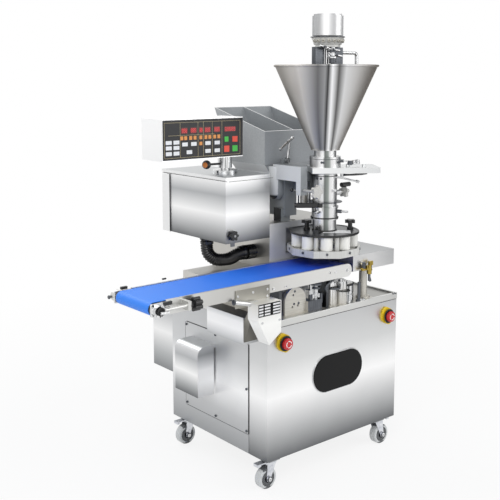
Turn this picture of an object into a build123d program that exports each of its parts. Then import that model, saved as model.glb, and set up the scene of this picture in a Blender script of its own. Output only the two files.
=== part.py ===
from build123d import *
import os
from math import cos, degrees, hypot, pi, radians, sin, sqrt, tan

os.makedirs("parts", exist_ok=True)

# Machine frame: X to the right along the front, Y to the back, Z up, floor at 0

# Cabinet
left = -92.0
front = -305.0
cabinet_width = 655.0
cabinet_depth = 560.0
cabinet_height = 468.0
caster_height = 100.0
sheet = 2.0

# Clearances
gap = 0.3
fit = 0.05
swing_gap = 5.0
overrun = 6.0

# Cabinet covers and boxes
wrap_depth = 96.0
seam = 3.0
side_box_reach = 65.0
side_box_start = 48.0
side_box_length = 202.0
side_box_drop = 49.0
side_box_height = 93.0
back_box_width = 200.0
back_box_depth = 134.0
back_box_rise = 172.0
back_box_height = 248.0
cover_start = 100.0
cover_length = 371.0
cover_rise = 71.0
cover_height = 324.0
cover_sheet = 1.5
hood_start = 289.0
hood_length = 141.0
hood_rise = 164.0
hood_height = 184.0
hood_reach = 79.0
hood_bend = 28.0
hood_slot = 5.0

# Table
table_overhang = 2.0
table_seam = 2.0
table_seam_inset = 3.2
table_thickness = 22.0
table_bend = 5.0
tray_border = 10.0
tray_depth = 6.0
tray_floor = 6.0
table_rim = 20.0

# Rear housing and motor box
housing_inset = 187.0
housing_width = 313.0
housing_setback = 205.0
housing_depth = 345.0
housing_height = 295.0
recess_start = 79.0
recess_depth = 31.0
housing_lip = 23.0
deck_reach = 245.0
deck_setback = 200.0
deck_depth = 203.0
deck_rise = 86.0
deck_thickness = 40.0
port_inset = 125.0
port_setback = 16.0
port_radius = 15.0
port_depth = 12.0
port_wall = 3.0
motor_box_width = 202.0
motor_box_depth = 385.0
motor_box_height = 225.0
motor_box_overlap = 49.0
lid_thickness = 8.0
lid_overhang = 3.0

# Conveyor
belt_rise = 134.0
belt_width = 182.0
belt_thickness = 2.0
belt_clearance = 3.0
roller_radius = 18.7
roller_shaft_radius = 6.0
rail_height = 47.0
rail_thickness = 6.0
rail_overlap = 4.0
rail_reach = 408.0
tail_offset = 40.0
tail_axis = rail_reach + tail_offset
bed_thickness = 5.7
bed_inset = 1.0
bed_end_gap = 27.0
cross_bar_width = 20.0
cross_bar_height = 28.0
cross_bar_shares = (0.14, 0.52, 0.9)

# Head
head_axis_x = 356.0
head_axis_y = 95.0
block_inset = 410.0
drive_margin = 34.0
drive_axis = block_inset - drive_margin
block_width = 223.0
block_height = 58.0
block_rise = 122.0

# Shutter ring and shutters
shutter_count = 9
ring_apothem = 129.0
ring_foot = 10.0
ring_floor = 4.0
ring_wall = 7.0
ring_wall_height = 21.0
ring_bore = 62.0
ring_turn = 230.0
pin_circle = 100.0
pin_radius = 5.0
drum_radius = 22.0
drum_height = 47.5
hub_radius = 12.0
vane_length = 85.0
vane_root = 10.0
vane_tip = 1.5
vane_height = 10.0
vane_rise = 4.0
vane_rest_angle = 30.0
spacer_circle = 108.0
spacer_radius = 8.0
spacer_angles = (90, 210, 250, 330)
disc_radius = 125.0
disc_thickness = 6.0
disc_bore = 46.0

# Filling column
column_bore = 34.0
column_radius = 44.0
nozzle_bore = 25.0
nozzle_radius = 30.0
nozzle_length = 56.0
nozzle_flange = 6.0
sleeve_radius = 43.0
sleeve_length = 41.0
clamp_ring_radius = 47.0
clamp_ring_height = 48.0
column_length = 123.0
plate_thickness = 20.0
collar_radius = 56.0
collar_height = 37.0
neck_radius = 40.0
neck_height = 23.0

# Cone hopper
hopper_base_radius = 52.0
hopper_mouth_radius = 183.0
hopper_height = 299.0
hopper_sheet = 2.5
hopper_lip = 4.0
hopper_flange = 4.0

# Dough hopper and screw casting
casting_inset = 226.0
casting_width = 260.0
casting_setback = 245.0
casting_depth = 205.0
casting_rise = 104.0
casting_height = 77.0
taper_height = 29.0
trough_inset = 210.0
trough_width = 288.0
trough_setback = 260.0
trough_base_depth = 200.0
trough_top_depth = 300.0
trough_front_height = 122.0
trough_back_height = 202.0
trough_sheet = 4.0

# Control box
panel_axis_x = 80.0
panel_axis_y = 330.0
panel_reach = 240.0
panel_width = 347.0
panel_setback = 258.0
panel_depth = 125.0
panel_height = 140.0
panel_lift = 65.0

# Levels and planes worked out from the sizes above
right = left + cabinet_width
back = front + cabinet_depth
cabinet_top = caster_height + cabinet_height
table_bottom = cabinet_top + table_seam
table_level = table_bottom + table_thickness
tray_level = table_level - tray_depth
housing_left = left + housing_inset
housing_right = housing_left + housing_width
housing_front = front + housing_setback
housing_back = housing_front + housing_depth
housing_top = tray_level + housing_height
belt_level = tray_level + belt_rise
belt_inner_radius = roller_radius + gap
belt_outer_radius = belt_inner_radius + belt_thickness
rail_front = front - rail_overlap
rail_inside = rail_front + rail_thickness
belt_front = rail_inside + belt_clearance
belt_back = belt_front + belt_width
far_rail_inside = belt_back + belt_clearance
far_rail_back = far_rail_inside + rail_thickness
drive_x = left + drive_axis
tail_x = left - tail_axis
rail_left = left - rail_reach
rail_bottom = belt_level - rail_height / 2
rail_top = belt_level + rail_height / 2
block_left = left + block_inset
block_bottom = tray_level + block_rise
block_top = block_bottom + block_height
axis_x = left + head_axis_x
axis_y = front + head_axis_y
ring_level = block_top + ring_foot
ring_top = ring_level + ring_floor + ring_wall_height
drum_level = ring_top + 2 * gap
disc_level = drum_level + drum_height + gap
disc_top = disc_level + disc_thickness
nozzle_level = drum_level
sleeve_level = nozzle_level + nozzle_length
clamp_level = sleeve_level + sleeve_length
tube_level = clamp_level + clamp_ring_height
plate_level = tube_level + column_length
plate_top = plate_level + plate_thickness
collar_top = plate_top + collar_height
column_top = collar_top + neck_height
hopper_mouth = column_top + hopper_height


def block(x0, x1, y0, y1, z0, z1, mode=Mode.ADD):
    # A box between two corners
    with Locations(((x0 + x1) / 2, (y0 + y1) / 2, (z0 + z1) / 2)):
        Box(x1 - x0, y1 - y0, z1 - z0, mode=mode)


def post(x, y, z0, z1, radius, mode=Mode.ADD):
    # An upright cylinder
    with Locations((x, y, (z0 + z1) / 2)):
        Cylinder(radius, z1 - z0, mode=mode)


def bar_x(x0, x1, y, z, radius, mode=Mode.ADD):
    # A cylinder that lies along X
    with Locations(Location(((x0 + x1) / 2, y, z), (0, 90, 0))):
        Cylinder(radius, x1 - x0, mode=mode)


def bar_y(x, y0, y1, z, radius, mode=Mode.ADD):
    # A cylinder that lies along Y
    with Locations(Location((x, (y0 + y1) / 2, z), (90, 0, 0))):
        Cylinder(radius, y1 - y0, mode=mode)


def rod(start, end, radius, mode=Mode.ADD):
    # A round bar between two points
    path = Vector(*end) - Vector(*start)
    with Locations(Plane(origin=start, z_dir=path)):
        Cylinder(radius, path.length, align=(Align.CENTER, Align.CENTER, Align.MIN), mode=mode)


def facing(y):
    # An upright plane at y that faces the front: X to the right, Z up
    return Plane(origin=(0, y, 0), x_dir=(1, 0, 0), z_dir=(0, -1, 0))


def knob_facing(x, y, z):
    # The same plane with its origin on a knob's axis
    return Plane(origin=(x, y, z), x_dir=(1, 0, 0), z_dir=(0, -1, 0))


def sideways(x):
    # An upright plane at x that faces +X: Y to the right, Z up
    return Plane(origin=(x, 0, 0), x_dir=(0, 1, 0), z_dir=(1, 0, 0))


def prism(plane, points, thickness, mode=Mode.ADD):
    # A plate of the given outline, along the plane's normal
    with BuildSketch(plane) as outline:
        with BuildLine():
            Polyline(points, close=True)
        make_face()
    extrude(outline.sketch, amount=thickness, mode=mode)


def lobed(plane, radius, lobe_radius, lobes, thickness, mode=Mode.ADD):
    # A hand knob's lobed disc, along the plane's normal
    with BuildSketch(plane) as outline:
        Circle(radius - lobe_radius)
        with PolarLocations(radius - lobe_radius, lobes):
            Circle(lobe_radius)
    extrude(outline.sketch, amount=thickness, mode=mode)


def save(shape, name):
    # One STEP file for each piece
    shape.label = name
    export_step(shape, f"parts/{name}.step")


# Casters: forks that swivel on kingpins under the cabinet, wheels on their axles
wheel_radius = 37.5
wheel_width = 30.0
tread_edge = 4.0
wheel_hub_radius = 14.0
wheel_dish = 5.0
wheel_dish_radius = 28.0
axle_radius = 4.0
axle_head_radius = 7.0
axle_head = 3.0
fork_sheet = 2.5
fork_trail = 22.0
fork_crown = 3.2
fork_crown_radius = 24.0
kingpin_radius = 5.0
kingpin_head_radius = 9.0
kingpin_head = 3.2
caster_plate = 48.0
caster_plate_thickness = 3.0
pedal_reach = 66.0
pedal_width = 24.0
pedal_sheet = 4.0
pedal_tip = 12.0
pedal_tip_drop = 6.0
fork_eye = 10.0
caster_left_inset = 35.0
caster_right_inset = 83.0
caster_front_inset = 24.0
caster_back_inset = 60.0
tab_reach = 58.0

plate_bottom = caster_height - caster_plate_thickness
crown_top = plate_bottom - gap
crown_bottom = crown_top - fork_crown
kingpin_bottom = crown_bottom - gap - kingpin_head
fork_inside = wheel_width / 2 + gap
fork_outside = fork_inside + fork_sheet
casters = {
    "front_left": (left + caster_left_inset, front + caster_front_inset, -1),
    "front_right": (right - caster_right_inset, front + caster_front_inset, 1),
    "back_left": (left + caster_left_inset, back - caster_back_inset, -1),
    "back_right": (right - caster_right_inset, back - caster_back_inset, 1),
}


def caster_fork(x, y, side, second_tab):
    # Crown plate, two legs, axle with its heads, and the brake pedal
    axle_x = x + side * fork_trail
    with BuildPart() as fork:
        post(x, y, crown_bottom, crown_top, fork_crown_radius)
        for leg in (-1, 1):
            near = y + leg * fork_inside
            with BuildSketch(facing(near)) as outline:
                with Locations((axle_x, wheel_radius)):
                    Circle(fork_eye)
                with BuildLine():
                    Polyline(
                        (x - side * fork_crown_radius / 2, crown_top),
                        (x + side * fork_crown_radius, crown_top),
                        (axle_x + side * fork_eye, wheel_radius),
                        (axle_x - side * fork_eye, wheel_radius),
                        (x - side * fork_crown_radius / 2, crown_bottom - fork_crown),
                        close=True,
                    )
                make_face()
            extrude(amount=-leg * fork_sheet)
        block(
            min(x, x + side * fork_crown_radius),
            max(x, x + side * fork_crown_radius),
            y - fork_outside,
            y + fork_outside,
            crown_bottom,
            crown_top,
        )
        bar_y(axle_x, y - fork_outside - axle_head, y + fork_outside + axle_head, wheel_radius, axle_radius)
        for leg in (-1, 1):
            face = y + leg * fork_outside
            bar_y(axle_x, min(face, face + leg * axle_head), max(face, face + leg * axle_head),
                  wheel_radius, axle_head_radius)
        start = x + side * kingpin_head_radius * 2
        end = x + side * pedal_reach
        block(min(start, end), max(start, end), y - pedal_width / 2, y + pedal_width / 2,
              crown_top - pedal_sheet, crown_top)
        tip = end - side * pedal_tip
        block(min(tip, end), max(tip, end), y - pedal_width / 2, y + pedal_width / 2,
              crown_top - pedal_sheet - pedal_tip_drop, crown_top)
        if second_tab:
            tab_end = x - side * tab_reach
            block(min(x, tab_end), max(x, tab_end), y - fork_crown_radius / 2, y + fork_crown_radius / 2,
                  crown_bottom, crown_top)
        post(x, y, crown_bottom - overrun, crown_top + overrun, kingpin_radius + fit, mode=Mode.SUBTRACT)
        post(x, y, kingpin_bottom - gap, crown_bottom, kingpin_head_radius + gap, mode=Mode.SUBTRACT)
    return fork.part


def caster_wheel(x, y, side):
    # Tyre with rounded edges, dished sides and a hub with the axle's bore
    axle_x = x + side * fork_trail
    with BuildPart() as wheel:
        bar_y(axle_x, y - wheel_width / 2, y + wheel_width / 2, wheel_radius, wheel_radius)
        rims = wheel.edges().filter_by(GeomType.CIRCLE)
        fillet(rims, radius=tread_edge)
        for face in (-1, 1):
            outer = y + face * wheel_width / 2
            inner = outer - face * wheel_dish
            bar_y(axle_x, min(outer, inner), max(outer, inner), wheel_radius, wheel_dish_radius,
                  mode=Mode.SUBTRACT)
            bar_y(axle_x, min(outer, inner), max(outer, inner), wheel_radius, wheel_hub_radius)
        bar_y(axle_x, y - wheel_width, y + wheel_width, wheel_radius, axle_radius + fit, mode=Mode.SUBTRACT)
    return wheel.part


for place, (caster_x, caster_y, side) in casters.items():
    save(caster_fork(caster_x, caster_y, side, place == "front_left"), f"caster_fork_{place}")
    save(caster_wheel(caster_x, caster_y, side), f"caster_wheel_{place}")

# Cabinet shell: closed sheet box, joggled in behind the front cover, with side and back boxes
seam_y = front + wrap_depth + seam
side_box_front = front + side_box_start
side_box_back = side_box_front + side_box_length
side_box_bottom = cabinet_top - side_box_drop
side_box_top = side_box_bottom + side_box_height
side_box_left = left - side_box_reach
side_box_right = left - table_overhang - gap
back_box_bottom = caster_height + back_box_rise
back_box_top = back_box_bottom + back_box_height
back_box_back = back + back_box_depth
with BuildPart() as cabinet_shell:
    block(left + sheet, right - sheet, front + sheet, seam_y + sheet, caster_height, cabinet_top)
    block(left, right, seam_y, back, caster_height, cabinet_top)
    block(side_box_left, side_box_right, side_box_front, side_box_back, side_box_bottom, side_box_top)
    block(side_box_right, left, seam_y, side_box_back, side_box_bottom, cabinet_top - sheet)
    block(left, left + back_box_width, back, back_box_back, back_box_bottom, back_box_top)
    block(left + 2 * sheet, right - 2 * sheet, front + 2 * sheet, back - sheet,
          caster_height + sheet, cabinet_top - sheet, mode=Mode.SUBTRACT)
    block(side_box_left + sheet, side_box_right - sheet, side_box_front + sheet, side_box_back - sheet,
          side_box_bottom + sheet, side_box_top - sheet, mode=Mode.SUBTRACT)
    block(left + sheet, left + back_box_width - sheet, back + sheet, back_box_back - sheet,
          back_box_bottom + sheet, back_box_top - sheet, mode=Mode.SUBTRACT)
    for caster_x, caster_y, side in casters.values():
        block(caster_x - caster_plate / 2, caster_x + caster_plate / 2, caster_y - caster_plate / 2,
              caster_y + caster_plate / 2, plate_bottom, caster_height)
        post(caster_x, caster_y, kingpin_bottom, plate_bottom, kingpin_radius)
        post(caster_x, caster_y, kingpin_bottom, kingpin_bottom + kingpin_head, kingpin_head_radius)
save(cabinet_shell.part, "cabinet_shell")

# Front cover, wrapped round both sides
cover_corner = 1.5
with BuildPart() as front_cover:
    block(left, right, front, front + sheet, caster_height, cabinet_top)
    block(left, left + sheet, front, front + wrap_depth, caster_height, cabinet_top)
    block(right - sheet, right, front, front + wrap_depth, caster_height, cabinet_top)
    corners = front_cover.edges().filter_by(Axis.Z).group_by(Axis.Y)[0]
    fillet(corners, radius=cover_corner)
save(front_cover.part, "front_cover")

# Access cover with its vent hood
cover_front = front + cover_start
cover_bottom = caster_height + cover_rise
hood_front = front + hood_start
hood_back = hood_front + hood_length
hood_bottom = caster_height + hood_rise
hood_top = hood_bottom + hood_height
hood_left = left - hood_reach
cover_face = left - cover_sheet
with BuildPart() as access_cover:
    block(hood_left, left, hood_front, hood_back, hood_bottom, hood_top)
    bend = access_cover.edges().filter_by(Axis.Y).group_by(Axis.X)[0].sort_by(Axis.Z)[-1]
    fillet(bend, radius=hood_bend)
    with BuildSketch(facing(hood_back - cover_sheet)) as hollow:
        with BuildLine():
            Line((cover_face, hood_bottom - overrun), (cover_face, hood_top - cover_sheet))
            Line((cover_face, hood_top - cover_sheet), (hood_left + hood_bend, hood_top - cover_sheet))
            RadiusArc(
                (hood_left + hood_bend, hood_top - cover_sheet),
                (hood_left + cover_sheet, hood_top - hood_bend),
                -(hood_bend - cover_sheet),
            )
            Line((hood_left + cover_sheet, hood_top - hood_bend), (hood_left + cover_sheet, hood_bottom - overrun))
            Line((hood_left + cover_sheet, hood_bottom - overrun), (cover_face, hood_bottom - overrun))
        make_face()
    extrude(amount=hood_length - 2 * cover_sheet, mode=Mode.SUBTRACT)
    block(cover_face - hood_slot, cover_face, hood_front, hood_front + cover_sheet,
          hood_bottom, hood_top - 2 * hood_slot, mode=Mode.SUBTRACT)
    block(cover_face, left, cover_front, cover_front + cover_length, cover_bottom, cover_bottom + cover_height)
save(access_cover.part, "access_cover")

# Table top: a tray with a raised border on a seam ring
table_left = left - table_overhang
table_right = right + table_overhang
table_front = front - table_overhang
table_back = back + table_overhang
table_edge = 1.5
with BuildPart() as table_top:
    block(table_left, table_right, table_front, table_back, table_bottom, table_level)
    fillet(table_top.edges().filter_by(Axis.Z), radius=table_bend)
    fillet(table_top.faces().sort_by(Axis.Z)[-1].edges(), radius=table_edge)
    block(table_left + tray_border, table_right - tray_border, table_front + tray_border,
          table_back - tray_border, tray_level, table_level + overrun, mode=Mode.SUBTRACT)
    block(table_left + table_seam_inset, table_right - table_seam_inset, table_front + table_seam_inset,
          table_back - table_seam_inset, cabinet_top, table_bottom)
    block(table_left + table_rim, table_right - table_rim, table_front + table_rim, table_back - table_rim,
          cabinet_top - overrun, tray_level - tray_floor, mode=Mode.SUBTRACT)
save(table_top.part, "table_top")

# Rear housing: closed box in the tray, set back round the shutter head, with its side deck
recess_left = housing_left + recess_start
recess_back = housing_front + recess_depth
recess_top = housing_top - housing_lip
deck_left = housing_left - deck_reach
deck_front = front + deck_setback
deck_bottom = tray_level + deck_rise
deck_top = deck_bottom + deck_thickness
port_x = housing_left + port_inset
port_y = housing_front + port_setback
with BuildPart() as rear_housing:
    block(housing_left, housing_right, housing_front, housing_back, tray_level, housing_top)
    block(deck_left, housing_left, deck_front, deck_front + deck_depth, deck_bottom, deck_top)
    block(housing_left + sheet, housing_right - sheet, housing_front + sheet, housing_back - sheet,
          tray_level + sheet, housing_top - sheet, mode=Mode.SUBTRACT)
    block(deck_left + sheet, housing_left - sheet, deck_front + sheet, deck_front + deck_depth - sheet,
          deck_bottom + sheet, deck_top - sheet, mode=Mode.SUBTRACT)
    block(recess_left - sheet, housing_right, housing_front, recess_back + sheet,
          block_top - 2 * sheet, recess_top + sheet)
    block(recess_left, housing_right + overrun, housing_front - overrun, recess_back,
          block_top - sheet, recess_top, mode=Mode.SUBTRACT)
    post(port_x, port_y + port_wall, housing_top - sheet - port_depth, housing_top - sheet, port_radius + port_wall)
    post(port_x, port_y + port_wall, housing_top - port_depth, housing_top + overrun, port_radius,
         mode=Mode.SUBTRACT)
save(rear_housing.part, "rear_housing")
print("cabinet", right, back, "table", table_level, "housing top", housing_top)

# Conveyor frame: two rails, slider bed, cross bars, tail bearings and spacers
rail_run = drive_x - rail_left
bed_top = belt_level + roller_radius
bed_bottom = bed_top - bed_thickness
bearing_reach = 18.0
bearing_overlap = 8.0
bearing_thickness = 8.0
bearing_height = 38.0
bearing_cap_radius = 19.0
bearing_cap = 20.0
takeup_radius = 5.0
takeup_reach = 152.0
lug_start = 99.0
lug_thickness = 12.0
lug_width = 32.0
lug_height = 28.0
spacer_width = 30.0
spacer_height = 40.0
spacer_inset = 13.0
spacer_pitch = 130.0
shaft_fit = 0.1
bearing_left = tail_x - bearing_reach
bearing_right = rail_left + bearing_overlap
takeup_y = rail_front - bearing_thickness - bearing_cap + takeup_radius
far_takeup_y = far_rail_back + bearing_thickness + bearing_cap - takeup_radius
with BuildPart() as conveyor_frame:
    for rail_y in (rail_front, far_rail_inside):
        block(rail_left, drive_x, rail_y, rail_y + rail_thickness, rail_bottom, rail_top)
        bar_y(drive_x, rail_y, rail_y + rail_thickness, belt_level, rail_height / 2)
    block(tail_x + bed_end_gap, drive_x - bed_end_gap, belt_front + bed_inset, belt_back - bed_inset,
          bed_bottom, bed_top)
    for share in cross_bar_shares:
        bar_at = rail_left + share * rail_run
        block(bar_at - cross_bar_width / 2, bar_at + cross_bar_width / 2, rail_inside, far_rail_inside,
              bed_bottom - cross_bar_height, bed_bottom)
    block(bearing_left, bearing_right, rail_front - bearing_thickness, rail_front,
          belt_level - bearing_height / 2, belt_level + bearing_height / 2)
    block(bearing_left, bearing_right, far_rail_back, far_rail_back + bearing_thickness,
          belt_level - bearing_height / 2, belt_level + bearing_height / 2)
    bar_y(tail_x, rail_front - bearing_thickness - bearing_cap, rail_front, belt_level, bearing_cap_radius)
    bar_y(tail_x, far_rail_back, far_rail_back + bearing_thickness + bearing_cap, belt_level, bearing_cap_radius)
    bar_x(tail_x, tail_x + takeup_reach, takeup_y, belt_level, takeup_radius)
    bar_x(tail_x, tail_x + lug_start + lug_thickness, far_takeup_y, belt_level, takeup_radius)
    block(tail_x + lug_start, tail_x + lug_start + lug_thickness, rail_front - lug_width, rail_front,
          belt_level - lug_height / 2, belt_level + lug_height / 2)
    block(tail_x + lug_start, tail_x + lug_start + lug_thickness, far_rail_back, far_rail_back + lug_width,
          belt_level - lug_height / 2, belt_level + lug_height / 2)
    for step in (0, 1):
        spacer_left = housing_left + spacer_inset + step * spacer_pitch
        block(spacer_left, spacer_left + spacer_width, far_rail_back, housing_front,
              belt_level - spacer_height / 2, belt_level + spacer_height / 2)
    bar_y(drive_x, rail_front - overrun, far_rail_back + overrun, belt_level, roller_shaft_radius + shaft_fit,
          mode=Mode.SUBTRACT)
    bar_y(tail_x, rail_front - bearing_thickness - bearing_cap / 2, far_rail_back + bearing_thickness + bearing_cap / 2,
          belt_level, roller_shaft_radius + shaft_fit, mode=Mode.SUBTRACT)
save(conveyor_frame.part, "conveyor_frame")

# Belt round both rollers
with BuildPart() as belt:
    with BuildSketch(facing(belt_back)):
        for radius, mode in ((belt_outer_radius, Mode.ADD), (belt_inner_radius, Mode.SUBTRACT)):
            with Locations((tail_x, belt_level), (drive_x, belt_level)):
                Circle(radius, mode=mode)
            with Locations(((tail_x + drive_x) / 2, belt_level)):
                Rectangle(drive_x - tail_x, 2 * radius, mode=mode)
    extrude(amount=belt_width)
save(belt.part, "belt")

# Drive and tail rollers with their shafts
roller_inset = 3.0
shaft_overhang = 2.0
shaft_end_gap = 2.0
with BuildPart() as drive_roller:
    bar_y(drive_x, belt_front + roller_inset, belt_back - roller_inset, belt_level, roller_radius)
    bar_y(drive_x, rail_front - shaft_overhang, far_rail_back + shaft_overhang, belt_level, roller_shaft_radius)
save(drive_roller.part, "drive_roller")
with BuildPart() as tail_roller:
    bar_y(tail_x, belt_front + roller_inset, belt_back - roller_inset, belt_level, roller_radius)
    bar_y(tail_x, rail_front - bearing_thickness, far_rail_back + bearing_thickness, belt_level, roller_shaft_radius)
save(tail_roller.part, "tail_roller")

# Take-up knob on the near rod
takeup_knob_radius = 22.0
takeup_lobe = 7.0
takeup_lobes = 6
takeup_knob_depth = 26.0
takeup_hub_radius = 11.0
takeup_hub = 10.0
lug_right = tail_x + lug_start + lug_thickness
with BuildPart() as tension_knob:
    bar_x(lug_right + gap, lug_right + gap + takeup_hub, takeup_y, belt_level, takeup_hub_radius)
    knob_plane = Plane(origin=(lug_right + gap + takeup_hub, takeup_y, belt_level), z_dir=(1, 0, 0))
    lobed(knob_plane, takeup_knob_radius, takeup_lobe, takeup_lobes, takeup_knob_depth)
    bar_x(lug_right - overrun, tail_x + takeup_reach + 2 * gap, takeup_y, belt_level, takeup_radius + fit,
          mode=Mode.SUBTRACT)
save(tension_knob.part, "tension_knob")

# Drive bracket from the near rail down to the side box
bracket_reach = 142.0
bracket_overlap = 3.0
bracket_sheet = 3.0
bracket_drop = 52.0
bracket_raise = 7.0
foot_inset = 3.0
foot_margin = 9.0
bracket_left = left - bracket_reach
bracket_front = rail_front - bracket_sheet
foot_left = side_box_left + foot_inset
foot_right = side_box_right - foot_inset
foot_bottom = side_box_bottom + foot_margin
foot_top = side_box_top - foot_margin
foot_front = side_box_front - bracket_sheet
with BuildPart() as drive_bracket:
    block(bracket_left, left + bracket_overlap, bracket_front, rail_front,
          belt_level - bracket_drop, belt_level + bracket_raise)
    block(foot_left, foot_right, foot_front, side_box_front, foot_bottom, foot_top)
    web = (
        (bracket_front, belt_level + bracket_raise),
        (rail_front, belt_level + bracket_raise),
        (rail_front, rail_bottom - foot_margin),
        (side_box_front, foot_top),
        (side_box_front, foot_bottom),
        (foot_front, foot_bottom),
        (bracket_front, belt_level - bracket_drop),
    )
    prism(sideways(foot_left), web, bracket_sheet)
save(drive_bracket.part, "drive_bracket")

# Drive cover, open at the back
drive_cover_reach = 91.0
drive_cover_overlap = 8.0
drive_cover_drop = 36.0
drive_cover_height = 143.0
drive_cover_end = 107.0
drive_cover_side = 57.0
drive_cover_toe = 47.0
drive_cover_depth = 53.0
drive_cover_left = left - drive_cover_reach
drive_cover_right = left + drive_cover_overlap
drive_cover_top = belt_level - drive_cover_drop
drive_cover_front = bracket_front - drive_cover_depth
cover_outline = (
    (drive_cover_left, drive_cover_top),
    (drive_cover_left, drive_cover_top - drive_cover_side),
    (drive_cover_left + drive_cover_toe, drive_cover_top - drive_cover_height),
    (drive_cover_right, drive_cover_top - drive_cover_end),
    (drive_cover_right, drive_cover_top),
)
with BuildPart() as drive_cover:
    prism(facing(bracket_front), cover_outline, drive_cover_depth)
    with BuildSketch(facing(bracket_front)):
        with BuildLine():
            Polyline(cover_outline, close=True)
        make_face()
        offset(amount=-sheet, kind=Kind.INTERSECTION, mode=Mode.REPLACE)
    extrude(amount=drive_cover_depth - sheet, mode=Mode.SUBTRACT)
save(drive_cover.part, "drive_cover")

# Belt lift on the table: base, arch plate, forked stand, conveyor legs, cylinders and the block's post
lift_inset = 60.0
lift_length = 475.0
lift_setback = 9.0
lift_depth = 55.0
lift_base = 6.0
arch_inset = 42.0
arch_width = 99.0
arch_setback = 18.0
arch_thickness = 8.0
arch_height = 95.0
arch_hole_radius = 4.0
arch_hole_shares = ((-0.1, 0.72), (0.12, 0.3), (-0.14, 0.28))
stand_width = 68.0
stand_margin = 6.0
stand_height = 38.0
prong_width = 10.0
prong_gap = 18.0
prong_height = 35.0
prong_depth = 24.0
lift_rod_radius = 10.0
lift_rod_height = 98.0
leg_width = 13.0
leg_margin = 4.0
leg_flange = 6.5
leg_inset = 3.0
leg_pitch = 225.0
cylinder_radius = 22.0
cylinder_height = 84.0
cylinder_cap = 6.0
cylinder_places = ((274.0, 26.0), (320.0, 20.0))
post_radius = 15.0
post_flange_radius = 26.0
post_flange = 8.0
post_inset = 443.0
post_setback = 27.0
lift_left = left + lift_inset
lift_front = front + lift_setback
lift_back = lift_front + lift_depth
lift_top = tray_level + lift_base
arch_left = lift_left + arch_inset
stand_left = arch_left + arch_width
stand_x = stand_left + stand_width / 2
stand_y = lift_front + lift_depth / 2
post_x = lift_left + post_inset
post_y = lift_front + post_setback
with BuildPart() as belt_lift:
    block(lift_left, lift_left + lift_length, lift_front, lift_back, tray_level, lift_top)
    with BuildSketch(facing(lift_front + arch_setback + arch_thickness)):
        with Locations((arch_left + arch_width / 2, lift_top + arch_height - arch_width / 2)):
            Circle(arch_width / 2)
        with Locations((arch_left + arch_width / 2, lift_top)):
            Rectangle(arch_width, arch_height - arch_width / 2, align=(Align.CENTER, Align.MIN))
            for across, up in arch_hole_shares:
                with Locations((across * arch_width, up * arch_height)):
                    Circle(arch_hole_radius, mode=Mode.SUBTRACT)
    extrude(amount=arch_thickness)
    block(stand_left, stand_left + stand_width, lift_front + stand_margin, lift_back - stand_margin,
          lift_top, lift_top + stand_height)
    for side in (-1, 1):
        prong_x = stand_x + side * (prong_gap + prong_width) / 2
        block(prong_x - prong_width / 2, prong_x + prong_width / 2, stand_y - prong_depth / 2,
              stand_y + prong_depth / 2, lift_top + stand_height, lift_top + stand_height + prong_height)
    post(stand_x, stand_y, lift_top + stand_height, lift_top + lift_rod_height, lift_rod_radius)
    for step in (0, 1):
        leg_left = lift_left + leg_inset + step * leg_pitch
        block(leg_left, leg_left + leg_width, lift_front + leg_margin, lift_back - leg_margin,
              lift_top, rail_bottom)
        block(leg_left, leg_left + leg_width, rail_front, lift_back - leg_margin,
              rail_bottom - leg_flange, rail_bottom)
    for cylinder_x, cylinder_y in cylinder_places:
        post(lift_left + cylinder_x, lift_front + cylinder_y, lift_top, lift_top + cylinder_height, cylinder_radius)
        post(lift_left + cylinder_x, lift_front + cylinder_y, lift_top + cylinder_height,
             lift_top + cylinder_height + cylinder_cap, cylinder_radius / 2)
    post(post_x, post_y, lift_top, lift_top + post_flange, post_flange_radius)
    post(post_x, post_y, lift_top, block_bottom, post_radius)
save(belt_lift.part, "belt_lift")

# Head block that carries the shutter ring
with BuildPart() as head_block:
    block(block_left, block_left + block_width, front, housing_front, block_bottom, block_top)
    block(block_left + sheet, block_left + block_width - sheet, front + sheet, housing_front - sheet,
          block_bottom + sheet, block_top - sheet, mode=Mode.SUBTRACT)
save(head_block.part, "head_block")

# Brass air valve on the block's front
valve_inset = 72.0
valve_rise = 8.0
valve_reach = 14.0
valve_neck_radius = 7.0
valve_body_radius = 9.0
valve_body_height = 32.0
valve_stem_radius = 4.0
valve_stem = 40.0
valve_tail_radius = 5.0
valve_tail = 26.0
valve_handle = 6.0
valve_handle_height = 24.0
valve_handle_width = 16.0
valve_x = block_left + valve_inset
valve_y = front - valve_reach
valve_z = block_bottom + valve_rise
valve_bottom = valve_z + valve_body_radius - valve_body_height
with BuildPart() as air_valve:
    bar_y(valve_x, valve_y, front, valve_z, valve_neck_radius)
    post(valve_x, valve_y, valve_bottom, valve_z + valve_body_radius, valve_body_radius)
    post(valve_x, valve_y, valve_bottom - valve_tail, valve_bottom, valve_tail_radius)
    bar_x(valve_x - valve_stem, valve_x, valve_y, valve_z - valve_stem_radius, valve_stem_radius)
    block(valve_x - valve_handle_width - valve_handle, valve_x - valve_handle_width, valve_y - valve_body_radius,
          valve_y + valve_body_radius, valve_z - valve_stem_radius, valve_z + valve_handle_height / 2)
    block(valve_x - valve_handle / 2, valve_x + valve_handle_width, valve_y - valve_stem_radius,
          valve_y + valve_stem_radius, valve_z + valve_body_radius, valve_z + valve_handle_height)
save(air_valve.part, "air_valve")

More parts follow.
